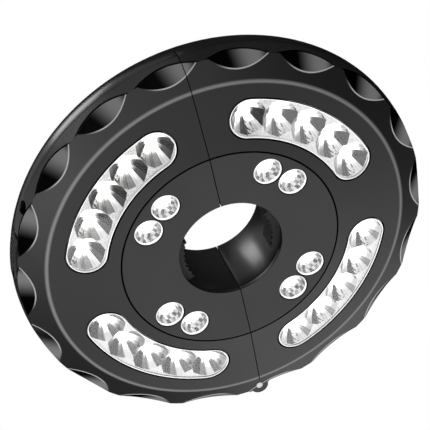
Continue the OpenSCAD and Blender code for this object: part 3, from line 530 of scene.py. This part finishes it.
# %% Finish of each node
finishes = {
    "housing": housing_abs, "center_panel": panel_abs, "top_cover": shell_abs,
    "battery_door": shell_abs, "jaw": inner_abs, "jaw_pad": pad_rubber, "jaw_guide": inner_abs,
    "jaw_springs": plated_steel, "battery_tray": inner_abs, "battery_cells": cell_jacket,
    "contact_springs": plated_steel, "contact_plates": plated_steel, "case_screws": plated_steel,
    "board_screws": plated_steel, "led_board": white_mask, "control_board": green_mask,
    "wires": wire_cover, "link_wire": wire_cover, "switch_frame": inner_abs,
    "mode_slider": slider_abs, "slide_switch": inner_abs, "power_jack": inner_abs,
    "hinge_pin": plated_steel, "torsion_spring": plated_steel,
}


def finish_of(node_name):
    """The finish whose name is the longest start of a node's name."""
    starts = [start for start in finishes if node_name.startswith(start)]
    return finishes[max(starts, key=len)] if starts else None


for name, node in nodes.items():
    material = finish_of(name)
    if material is not None:
        node.data.materials.clear()
        node.data.materials.append(material)
print("finished", sum(finish_of(name) is not None for name in nodes), "nodes of the frame")

# %% [markdown]
# Moulded edges are never knife sharp, and the thin line of light along them is what makes a
# shell look real. A bevel modifier rounds them. The surfaces arrive as separate patches, so a
# weld joins them first.

# %% Rounded edges of the shells
shortest_edge = 0.002 * MM
sharp_edge = math.radians(28)


def round_edges(node, width_mm):
    """Adds a weld and a bevel to a node."""
    weld = node.modifiers.new("join_patches", "WELD")
    weld.merge_threshold = shortest_edge
    bevel = node.modifiers.new("rounded_edges", "BEVEL")
    bevel.width = width_mm * MM
    bevel.segments = 2
    bevel.limit_method = "ANGLE"
    bevel.angle_limit = sharp_edge


edge_widths_mm = {"top_cover": 0.35, "battery_door": 0.3, "mode_slider": 0.3, "switch_frame": 0.25,
                  "jaw_left": 0.4, "jaw_right": 0.4, "center_panel": 0.2, "power_jack": 0.2}
for name, node in nodes.items():
    for start, width_mm in edge_widths_mm.items():
        if name.startswith(start):
            round_edges(node, width_mm)
rounded = [name for name, node in nodes.items() if "rounded_edges" in node.modifiers]
print("rounded the edges of", len(rounded), "nodes")

# %% [markdown]
# Each window is a slot bent round the pole, with round ends. One function walks round its edge
# and gives, for every step, a point on the slot's middle line and the point on the edge next to
# it.

# %% Walk round a window
def window_walk(direction, half_width, arc_steps=52, cap_steps=28):
    """Pairs of a middle point and an edge point, all the way round a window."""
    pairs = []
    for end, side in ((1, 1), (-1, -1)):
        for i in range(arc_steps):
            turn = direction - end * window_reach + end * 2 * window_reach * i / arc_steps
            pairs.append((polar(window_r, turn), polar(window_r + side * half_width, turn)))
        cap_direction = direction + end * window_reach
        middle = polar(window_r, cap_direction)
        for i in range(cap_steps):
            angle = cap_direction + math.pi * i / cap_steps + (0 if end == 1 else math.pi)
            pairs.append((middle, middle + polar(half_width, angle)))
    return pairs


print(len(window_walk(0, window_half)), "steps round each window")

# %% [markdown]
# A piece is gathered in a bmesh and then becomes an object. Very small edges, left where many
# points meet in one, are merged first. Every piece is hung on the body it rides on and takes its
# finishes, and the part of the frame that it stands for is hidden.

# %% From a bmesh to a piece
merge_distance = 0.004 * MM


def make_piece(name, mesh_code, materials, body, replaced, smooth=False):
    """Builds a mesh, makes an object of it, hangs it on its body and hides the part it replaces."""
    bm = bmesh.new()
    mesh_code(bm)
    bmesh.ops.remove_doubles(bm, verts=bm.verts, dist=merge_distance)
    bmesh.ops.dissolve_degenerate(bm, edges=bm.edges, dist=shortest_edge)
    mesh = bpy.data.meshes.new(name)
    bm.to_mesh(mesh)
    bm.free()
    for material in materials:
        mesh.materials.append(material)
    for polygon in mesh.polygons:
        polygon.use_smooth = smooth
    piece = bpy.data.objects.new(name, mesh)
    bpy.context.scene.collection.objects.link(piece)
    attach(piece, body)
    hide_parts(replaced)


print("points closer than", merge_distance / MM, "mm will be merged")

# %% [markdown]
# Behind each window sits a strip of five reflector cups, moulded in one piece and metallised in a
# vacuum. The real cups are pleated: fourteen narrow flat panels run from the diode to the rim, and
# each second fold leans in. Flat panels send the light off in different directions, so some look
# white and the next one black. Where two cups meet, each stops at the line halfway between them.

# %% Sizes of a cup
panels = 14
steps_in_panel = 16
cup_rim_r = 8.3 * MM
cup_rim_h = 1.9 * MM
fold = 0.035
cup_rings = [
    (2.6 * MM, 11.2 * MM), (4.2 * MM, 10.2 * MM), (6.2 * MM, 7.9 * MM), (cup_rim_r, None)]
plate_half = 8.6 * MM
plate_h = 1.75 * MM
first_panel = math.radians(2.2)
rounding_slack = 1e-9
near_miss = 1e-6
least_plate = 0.0001 * MM


def ring_radius(radius, angle):
    """Radius of a pleated ring in one direction, on the straight edge between two folds."""
    step = math.tau / panels
    angle = (angle - first_panel) % math.tau
    index = math.floor(angle / step + rounding_slack)
    near = radius * (1 + fold * (-1) ** index)
    far = radius * (1 - fold * (-1) ** index)
    along = angle - index * step
    return near * far * math.sin(step) / (near * math.sin(along) + far * math.sin(step - along))


def distance_to_line(centre, heading, line_angle):
    """How far it is from a point, along a heading, to a line through the pole's axis."""
    normal = Vector((-math.sin(line_angle), math.cos(line_angle)))
    speed = heading.dot(normal)
    distance = -centre.dot(normal) / speed if abs(speed) > rounding_slack else -1
    return distance if distance > 0 else math.inf


def distance_to_circle(centre, heading, radius):
    """How far it is from a point, along a heading, to a circle round the pole's axis."""
    half = centre.dot(heading)
    root = half * half - centre.length_squared + radius * radius
    if root < 0:
        return math.inf
    hits = [d for d in (-half - math.sqrt(root), -half + math.sqrt(root)) if d > near_miss]
    return min(hits) if hits else math.inf


def cup_limit(direction, index, heading_angle):
    """How far a cup reaches one way: to its neighbour's border or to the plate's edge."""
    cup_angle = direction - window_reach + index * light_step
    centre = polar(window_r, cup_angle)
    heading = polar(1, cup_angle + heading_angle)
    border = math.inf
    if index > 0:
        border = min(border, distance_to_line(centre, heading, cup_angle - light_step / 2))
    if index < lights_in_window - 1:
        border = min(border, distance_to_line(centre, heading, cup_angle + light_step / 2))
    edge = min(distance_to_circle(centre, heading, window_r + plate_half),
               distance_to_circle(centre, heading, window_r - plate_half))
    past_end = (index == 0 and math.sin(heading_angle) < 0) or (
        index == lights_in_window - 1 and math.sin(heading_angle) > 0)
    return min(border, plate_half if past_end else edge)


print("a cup opens from", round(2 * cup_rings[0][0] / MM, 1), "to", round(2 * cup_rim_r / MM, 1),
      "mm across")

# %% [markdown]
# The cup is built ray by ray. Along each ray the rings of the pleated cone come first, then the
# flat plate out to the window's edge. A ray that reaches the neighbour's border stops there, and
# the rings past it fold into that one point.

# %% One ray of a cup
def cup_profile(direction, index, angle):
    """Reach and height of each ring along a ray of a cup, cut off where the cup ends."""
    cup_angle = direction - window_reach + index * light_step
    centre, heading = polar(window_r, cup_angle), polar(1, angle)
    column = []
    for ring, (radius, height) in enumerate(cup_rings):
        reach = ring_radius(radius, angle)
        slope = face_height((centre + heading * reach).length)
        if height is None:
            level = slope + cup_rim_h
        else:
            level = height + ring / (len(cup_rings) - 1) * (slope - face_height(window_r))
        column.append([reach, level])
    limit = cup_limit(direction, index, angle - cup_angle)
    for ring in range(1, len(column)):
        (near, low), (far, high) = column[ring - 1], column[ring]
        if far > limit:
            part = max(0.0, (limit - near) / (far - near)) if far > near else 0.0
            column[ring] = [limit, low + (high - low) * part]
    if limit > column[-1][0] + least_plate:
        column.append([limit, face_height((centre + heading * limit).length) + plate_h])
    else:
        column.append(list(column[-1]))
    return column


print("a ray has", len(cup_profile(0, 0, 0)), "points")

# %% [markdown]
# Flat panels look either black or white, after what they mirror. Here each panel gets that as a
# painted reflection. The ones that face the lamp's left or right are dark, and the rest are bright,
# some more than others. The dark direction turns a little from window to window.

# %% Brightness of the panels
dark_direction = math.radians(163)
dark_turn = 0.3
dark_width = math.radians(21)
dark_tone, far_dark_tone = 0.0, 0.12
bright_tones = [1.0, 0.62, 0.95, 0.89, 0.4]
flood_least, flood_gain, flood_lean = 0.27, 0.36, 0.08
flood_low_side = math.radians(113)


def panel_share(direction, panel):
    """A panel's painted reflection tone, and how far its painted glow runs up it."""
    middle = first_panel + math.tau * (panel + 0.5) / panels
    sideways = math.cos(middle - dark_direction - dark_turn * (direction - math.pi))
    if abs(sideways) > math.cos(dark_width):
        tone = dark_tone if sideways > 0 else far_dark_tone
    else:
        tone = bright_tones[(panel + int(direction)) % len(bright_tones)]
    return tone, flood_least + flood_gain * tone - flood_lean * math.cos(middle - flood_low_side)


print("panels of one window:", [panel_share(0, panel)[0] for panel in range(panels)])

# %% [markdown]
# A strip joins the rays of its five cups with faces. Two UV maps go with them for the finish: one
# has the place on the cup, as turn and reach, the other the panel's painted reflection tone and
# how far its painted glow runs.

# %% Pleated reflector strips
def strip_mesh(direction):
    """A builder for the five cups of a window."""
    def build(bm):
        cup_map = bm.loops.layers.uv.new("cup_map")
        panel_map = bm.loops.layers.uv.new("panel_map")
        rays = panels * steps_in_panel
        for index in range(lights_in_window):
            centre = polar(window_r, direction - window_reach + index * light_step)
            columns = []
            for ray in range(rays):
                angle = first_panel + math.tau * ray / rays
                columns.append([
                    (reach, bm.verts.new((*(centre + polar(reach, angle)), face_low + level)))
                    for reach, level in cup_profile(direction, index, angle)])
            for ray in range(rays):
                near, far = columns[ray], columns[(ray + 1) % rays]
                for ring in range(len(near) - 1):
                    corners = [near[ring], near[ring + 1], far[ring + 1], far[ring]]
                    face = bm.faces.new([vertex for _, vertex in corners])
                    face.material_index = 1 if ring == len(near) - 2 else 0
                    turns = [ray, ray, ray + 1, ray + 1]
                    for loop, (reach, _), turn in zip(face.loops, corners, turns):
                        loop[cup_map].uv = (turn / rays, reach / cup_rim_r)
                        loop[panel_map].uv = panel_share(direction, ray // steps_in_panel)
    return build


print("each strip has", lights_in_window * panels, "panels")

# %% [markdown]
# The cups' finish is a thin film of aluminium on lacquer, nearly a mirror. Close to the diode it
# carries a painted glow for the diode's light, which ends in uneven streaks. The plate round the
# cups and the rim of the window are left frosted, with a soft painted glow for the diodes' light,
# and show the grain of the mould, about half a millimetre wide.

# %% Finishes of the reflectors
streak_scale, chip_scale = (70, 0.7, 1), (34, 9, 1)
streak_share, streak_flood = 0.6, -0.3
chip_edge, chipped_tones, chip_share = (0.54, 0.6), (0.82, 0.93), -0.6
tone_contrast = 2.2
flood_end = (-0.25, 0.05)
acrylic_ior = 1.49
grain_middle, cup_glow_end = (0.35, 0.65), (-0.1, 0.3)


def read_map(tree, name):
    """The two values of a UV map, and both as one vector."""
    uv = add_node(tree, "ShaderNodeUVMap", {"uv_map": name}).outputs["UV"]
    parts = add_node(tree, "ShaderNodeSeparateXYZ", inputs={"Vector": uv})
    return parts.outputs["X"], parts.outputs["Y"], uv


def map_noise(tree, uv, scale, detail):
    """Noise in a UV map, finer one way than the other."""
    stretched = add_node(tree, "ShaderNodeMapping", inputs={"Vector": uv, "Scale": scale})
    noise = add_node(tree, "ShaderNodeTexNoise", inputs={
        "Vector": stretched.outputs["Vector"], "Scale": 1.0, "Detail": detail})
    return noise.outputs["Fac"]


def flooded_metal(name, glow):
    """Vacuum metallised plastic, each panel with its painted reflection tone and its painted glow.
    """
    material, tree, shader = new_material(
        name, "#f6f6f6", Metallic=1.0, Roughness=0.32, **white_light)
    _, reach, uv = read_map(tree, "cup_map")
    brightness, flood_reach, _ = read_map(tree, "panel_map")
    streaks = map_noise(tree, uv, streak_scale, 3.0)
    chips = times(tree, smooth_step(tree, map_noise(tree, uv, chip_scale, 1.0), *chip_edge),
                  between(tree, brightness, *chipped_tones))
    tone = calculate(tree, "MULTIPLY_ADD", minus(tree, streaks, 0.5),
                     streak_share, brightness, clamp=True)
    tone = calculate(tree, "MULTIPLY_ADD", chips, chip_share, tone, clamp=True)
    tone = calculate(tree, "POWER", tone, tone_contrast)
    white = shader.inputs["Base Color"].default_value[:]
    tree.links.new(mix_colours(tree, tone, hex_colour("#101010"), white),
                   shader.inputs["Base Color"])
    past_flood = calculate(tree, "MULTIPLY_ADD", streaks, streak_flood,
                           minus(tree, reach, flood_reach))
    tree.links.new(smooth_step(tree, past_flood, *flood_end, glow, 0.0),
                   shader.inputs["Emission Strength"])
    return material


def frosted_glow(name, dark, bright, low, high, grain_mm, near_cups=0.0):
    """Frosted clear plastic with a painted glow for the diodes' light inside it, stronger near the
    cups.
    """
    material, tree, shader = new_material(
        name, bright, Roughness=0.55, IOR=acrylic_ior, **white_light)
    grain = object_noise(tree, grain_mm, detail=3.0).outputs["Fac"]
    tree.links.new(mix_colours(tree, grain, hex_colour(dark), hex_colour(bright)),
                   shader.inputs["Base Color"])
    lift = add_node(tree, "ShaderNodeMapRange", inputs={
        "Value": grain, "From Min": grain_middle[0], "From Max": grain_middle[1],
        "To Min": low, "To Max": high})
    glow = lift.outputs["Result"]
    if near_cups:
        past = minus(tree, read_map(tree, "cup_map")[1], read_map(tree, "panel_map")[1])
        glow = calculate(
            tree, "ADD", glow, smooth_step(tree, past, *cup_glow_end, near_cups, 0.0))
    tree.links.new(glow, shader.inputs["Emission Strength"])
    add_bump(tree, shader, grain, depth_mm=0.05, strength=0.5)
    return material


# The metal and both frosted parts glow with painted light that stands for the diodes' light.
cup_metal = flooded_metal("vacuum_metallised_cup", 1.2)
frosted_plate = frosted_glow(
    "frosted_reflector_plate", "#7c7c7c", "#f0f0f0", 0.15, 0.5, 0.4, near_cups=0.5)
frosted_rim = frosted_glow("frosted_window_rim", "#e6e6e6", "#ffffff", 0.5, 0.7, 1.2)
# The lens's edge wall is black, as painted shade in the groove round the window.
groove_shade = grained_material("painted_groove_shade", "#050505", 0.4, 0.02, 0.5, Roughness=0.7)
print("reflector finishes:", cup_metal.name, frosted_plate.name, frosted_rim.name)

# %% Place the strips
for place_name, direction in window_directions.items():
    body = place_name.split("_")[0] + "_half"
    make_piece("reflector_strip_" + place_name, strip_mesh(direction),
               [cup_metal, frosted_plate], body, "arc_reflector_" + place_name)
print("placed", len(window_directions), "reflector strips")

# %% [markdown]
# The window itself is clear acrylic, flush with the sloping face. Its rim is frosted and has a
# painted glow for the diodes' light, so it draws a fine white line round the window. A narrow
# groove is left outside it, as the real part has, and painted shade on its walls makes it a thin
# dark line.

# %% Clear windows
def clear_plastic(name):
    """Injection-moulded acrylic that lets lamps through to what is behind it."""
    material, tree, shader = new_material(
        name, "#ffffff", Roughness=0.02, IOR=acrylic_ior,
        **{"Transmission Weight": 1.0, "Specular IOR Level": 0.2})
    output = next(node for node in tree.nodes if node.type == "OUTPUT_MATERIAL")
    ray = add_node(tree, "ShaderNodeLightPath").outputs
    open_way = add_node(tree, "ShaderNodeBsdfTransparent")
    passes = calculate(tree, "MAXIMUM", ray["Is Shadow Ray"], ray["Is Diffuse Ray"])
    blend = add_node(tree, "ShaderNodeMixShader", inputs={
        0: passes, 1: shader.outputs["BSDF"], 2: open_way.outputs["BSDF"]})
    tree.links.new(blend.outputs["Shader"], output.inputs["Surface"])
    return material


acrylic = clear_plastic("moulded_acrylic")
lens_half = 8.85 * MM
rim_width = 0.3 * MM
lens_front, lens_back = 0.04 * MM, 1.1 * MM
lens_stations = [0, 2.5 * MM, 5 * MM, 7.2 * MM, lens_half - rim_width, lens_half]


def lens_sheet(bm, direction, depth):
    """Rows of points from a window's middle line to its edge, at one depth in the lens."""
    rows = []
    for middle, edge in window_walk(direction, lens_half):
        points = [middle + (edge - middle) * (station / lens_half) for station in lens_stations]
        rows.append([bm.verts.new((*point, face_low + face_height(point.length) + depth))
                     for point in points])
    return rows


def lens_mesh(direction):
    """A builder for a window's lens: two faces, their frosted rims and an edge wall in painted
    shade.
    """
    def build(bm):
        front = lens_sheet(bm, direction, lens_front)
        behind = lens_sheet(bm, direction, lens_back)
        count = len(front)
        for i in range(count):
            k = (i + 1) % count
            for j in range(len(lens_stations) - 1):
                rim = j == len(lens_stations) - 2
                for rows in (front, behind):
                    corners = [rows[i][j], rows[i][j + 1], rows[k][j + 1], rows[k][j]]
                    face = bm.faces.new(corners if rows is behind else corners[::-1])
                    face.material_index = 1 if rim else 0
            wall = bm.faces.new([front[i][-1], front[k][-1], behind[k][-1], behind[i][-1]])
            wall.material_index = 2
    return build


for place_name, direction in window_directions.items():
    body = place_name.split("_")[0] + "_half"
    make_piece("window_lens_" + place_name, lens_mesh(direction),
               [acrylic, frosted_rim, groove_shade], body, "arc_lens_" + place_name)
print("placed", len(window_directions), "window lenses")

# %% [markdown]
# The diodes are clear epoxy domes over a lit chip. A lit dome is far brighter than anything
# round it and shows as plain white, so its finish is mostly light, the same from every side.

# %% Diodes
diode_light = grained_material(
    "lit_epoxy_dome", "#fff8ec", 1.2, 0.02, 0.3, Roughness=0.2, IOR=1.55,
    **{"Emission Color": hex_colour("#fffdf8"), "Emission Strength": 2.0})
dome_profile = [(0.0, 7.4), (0.9, 7.55), (1.7, 8.0), (2.25, 8.7), (2.4, 9.6), (2.4, 10.9),
                (2.55, 10.9), (2.55, 11.9), (0.0, 11.9)]


def dome_mesh(centres, profile, sides=28):
    """A builder for one turned profile, in millimetres, at each of several places."""
    def build(bm):
        for centre in centres:
            rings = []
            for radius, height in profile:
                rings.append([bm.verts.new((*(centre + polar(radius * MM, math.tau * i / sides)),
                                            face_low + height * MM)) for i in range(sides)])
            for low_ring, high_ring in zip(rings, rings[1:]):
                for i in range(sides):
                    k = (i + 1) % sides
                    bm.faces.new([low_ring[i], low_ring[k], high_ring[k], high_ring[i]])
    return build


for side in ("left", "right"):
    centres = [polar(window_r, direction - window_reach + index * light_step)
               for name, direction in window_directions.items() if name.startswith(side)
               for index in range(lights_in_window)]
    make_piece("window_diodes_" + side, dome_mesh(centres, dome_profile), [diode_light],
               side + "_half", "arc_leds_" + side, smooth=True)
print("placed the diodes of the windows")

# %% [markdown]
# The round spots look like cut stones. Each is a bowl of staggered triangles, cut as on a
# brilliant: every ring is turned half a step against the last one, so neighbouring facets never
# face the same way. Their brightness is a painted reflection, with a painted glow near the diode,
# like that of the cups.

# %% Facets of the spots
spot_rings = [(2.0, 8.6), (2.9, 6.9), (3.9, 5.2), (4.9, 3.2), (5.9, 1.35)]
spot_sides = 20
spot_map_r = 5.75
facet_tones = [0.3, 1.0, 0.65, 1.0, 0.2, 0.95, 0.5, 1.0, 0.75]
facet_stride = 5
inner_flood, outer_flood = 0.62, 0.5


def spot_centres(side):
    """The middles of one half's spot lights."""
    return [polar(spot_ring_r, direction + turn * spot_step / 2)
            for name, direction in window_directions.items() if name.startswith(side)
            for turn in (-1, 1)]


def spot_facets(inner, outer, number):
    """The triangles between two rings, staggered the other way in each second pair."""
    for i in range(spot_sides):
        k = (i + 1) % spot_sides
        if number % 2 == 0:
            yield from ((inner[i], outer[i], inner[k]), (outer[i], outer[k], inner[k]))
        else:
            yield from ((inner[i], outer[k], inner[k]), (inner[i], outer[i], outer[k]))


def spot_bowl_mesh(centres):
    """A builder for the faceted bowls at several places."""
    def build(bm):
        cup_map = bm.loops.layers.uv.new("cup_map")
        panel_map = bm.loops.layers.uv.new("panel_map")
        facet_number = 0
        for centre in centres:
            rings = []
            for number, (radius, height) in enumerate(spot_rings):
                turns = [math.tau * (i + 0.5 * (number % 2)) / spot_sides
                         for i in range(spot_sides)]
                rings.append([bm.verts.new((*(centre + polar(radius * MM, turn)),
                                            face_low + height * MM)) for turn in turns])
            for number, (inner, outer) in enumerate(zip(rings, rings[1:])):
                flood = inner_flood if number < 2 else outer_flood
                for corners in spot_facets(inner, outer, number):
                    face = bm.faces.new(corners)
                    facet_number += 1
                    tone = facet_tones[(facet_number * facet_stride) % len(facet_tones)]
                    for loop in face.loops:
                        loop[panel_map].uv = (tone, flood)
                        away = loop.vert.co.xy - centre
                        loop[cup_map].uv = (math.atan2(away.y, away.x) / math.tau + 0.5,
                                            away.length / (spot_map_r * MM))
    return build


print("each spot has", 2 * spot_sides * (len(spot_rings) - 1), "facets")

# %% [markdown]
# A clear cap closes each bowl, in a frosted rim whose glow from the diode inside is painted. Both
# are turned shapes, so they take the same builder as the domes, with profiles in millimetres.

# %% Spot lights
rim_profile = [(5.98, 0.75), (6.0, 0.35), (6.1, 0.13), (6.2, 0.06), (6.32, 0.14), (6.4, 0.4),
               (6.4, 2.2), (5.98, 2.2), (5.98, 0.75)]
cap_profile = [(0.0, 0.3), (2.6, 0.32), (4.6, 0.5), (5.95, 0.75), (5.95, 1.25), (4.6, 1.05),
               (2.6, 0.9), (0.0, 0.9)]
spot_dome_profile = [(0.0, 7.0), (0.9, 7.15), (1.7, 7.7), (2.1, 8.6), (2.1, 11.9), (0.0, 11.9)]
spot_metal = flooded_metal("vacuum_metallised_bowl", 1.0)
for side in ("left", "right"):
    centres = spot_centres(side)
    body = side + "_half"
    make_piece("spot_bowls_" + side, spot_bowl_mesh(centres), [spot_metal],
               body, "spot_reflectors_" + side)
    make_piece("spot_diodes_" + side, dome_mesh(centres, spot_dome_profile), [diode_light],
               body, "spot_leds_" + side, smooth=True)
    make_piece("spot_rims_" + side, dome_mesh(centres, rim_profile, 64), [frosted_rim],
               body, "spot_lenses_" + side, smooth=True)
    make_piece("spot_caps_" + side, dome_mesh(centres, cap_profile, 16), [acrylic],
               body, "spot_lenses_" + side)
print("placed", 2 * len(centres), "spot lights")

# %% [markdown]
# The picture has a white ground. A studio gets it from a bright backdrop, and here the world and
# the floor are white where the camera, a mirror or glass looks at them, but give only soft light
# otherwise.

# %% World and floor
soft_strength, white_strength = 0.5, 1.0
floor_glow = 0.6
floor_low, floor_size = -2.6, 26


def looked_at(tree):
    """One for rays from the camera, a mirror or glass, and nought for soft light."""
    ray = add_node(tree, "ShaderNodeLightPath").outputs
    return combine(tree, "MAXIMUM", ray["Is Camera Ray"], ray["Is Transmission Ray"],
                   ray["Is Glossy Ray"])


world = bpy.data.worlds.new("studio")
bpy.context.scene.world = world
world.use_nodes = True
sky = world.node_tree
sky.nodes.clear()
soft_light, white_ground = (
    add_node(sky, "ShaderNodeBackground", inputs={"Color": (1, 1, 1, 1), "Strength": strength})
    for strength in (soft_strength, white_strength))
mixed_sky = add_node(sky, "ShaderNodeMixShader", inputs={
    0: looked_at(sky), 1: soft_light.outputs[0], 2: white_ground.outputs[0]})
add_node(sky, "ShaderNodeOutputWorld", inputs={"Surface": mixed_sky.outputs[0]})

bpy.ops.mesh.primitive_plane_add(size=floor_size, location=(0, 0, floor_low))
floor = bpy.context.object
floor.name = "studio_floor"
floor_paint, floor_tree, floor_shader = new_material(
    "pale_floor_paint", "#e6e6e6", Roughness=0.8, **white_light)
floor_tree.links.new(times(floor_tree, looked_at(floor_tree), floor_glow),
                     floor_shader.inputs["Emission Strength"])
floor.data.materials.append(floor_paint)
print("the floor is", -floor_low, "m below the lamp")

# %% [markdown]
# Large soft lamps stand where the photographer's stood. Each lights one part: the scoops, the
# face, the rim, the side wall from three sides, and the top. The top lamp isn't mirrored, because
# it would draw a white line along the shoulder.

# %% Lamps
def towards(azimuth, elevation):
    """The direction at so many degrees round from +X and above the horizon."""
    a, e = math.radians(azimuth), math.radians(elevation)
    return Vector((math.cos(a) * math.cos(e), math.sin(a) * math.cos(e), math.sin(e)))


def soft_lamp(name, direction, distance, width, height, watts):
    """An area lamp that looks at the middle of the umbrella light, sizes in metres."""
    data = bpy.data.lights.new(name, "AREA")
    data.shape = "RECTANGLE"
    data.size, data.size_y = width, height
    data.energy = watts
    lamp = bpy.data.objects.new(name, data)
    lamp.location = direction.normalized() * distance
    lamp.rotation_mode = "QUATERNION"
    lamp.rotation_quaternion = direction.to_track_quat("Z", "Y")
    lamp.visible_camera = False
    bpy.context.scene.collection.objects.link(lamp)
    return lamp


soft_lamp("key_lamp", towards(180, -50), 0.7, 0.35, 0.35, watts=0.9)
soft_lamp("low_lamp", towards(76, -46), 0.9, 0.75, 0.75, watts=2.8)
soft_lamp("edge_lamp", towards(70, -8), 1.0, 0.6, 0.6, watts=1.5)
soft_lamp("wall_lamp", towards(222, 51), 0.6, 0.22, 0.22, watts=0.8)
soft_lamp("wall_band", towards(215, 51), 0.8, 1.7, 0.5, watts=1.3)
soft_lamp("back_lamp", towards(135, 27), 1.1, 0.8, 0.4, watts=1.0)
soft_lamp("front_lamp", towards(315, 18), 1.1, 0.8, 0.3, watts=0.6)
top_lamp = soft_lamp("top_lamp", Vector((0.3, -0.4, 1.0)), 0.55, 0.5, 0.5, watts=5.6)
top_lamp.visible_glossy = False

# %% [markdown]
# Black plastic looks black only when it mirrors something dark. Black cloths hang round the light,
# and the camera can't see them. They are parts of a ball, each from one azimuth to another and from
# one elevation to another.

# %% Black cloths
cloth, _, _ = new_material(
    "black_velvet", "#020202", Roughness=1.0, **{"Specular IOR Level": 0.0})
cloth_patches = [(0, 360, -36, 90), (-40, 115, -88, -36)]
cloth_r = 1.35
columns, rows = 24, 8
bm = bmesh.new()
for from_azimuth, to_azimuth, from_elevation, to_elevation in cloth_patches:
    grid = [[bm.verts.new(cloth_r * towards(
        from_azimuth + (to_azimuth - from_azimuth) * i / columns,
        from_elevation + (to_elevation - from_elevation) * j / rows)) for j in range(rows + 1)]
        for i in range(columns + 1)]
    for i in range(columns):
        for j in range(rows):
            bm.faces.new([grid[i][j], grid[i + 1][j], grid[i + 1][j + 1], grid[i][j + 1]])
cloth_mesh = bpy.data.meshes.new("black_cloths")
bm.to_mesh(cloth_mesh)
bm.free()
cloth_mesh.materials.append(cloth)
cloths = bpy.data.objects.new("black_cloths", cloth_mesh)
bpy.context.scene.collection.objects.link(cloths)
for sight in ("camera", "diffuse", "transmission", "volume_scatter", "shadow"):
    setattr(cloths, "visible_" + sight, False)
print("hung", len(cloth_patches), "black cloths")
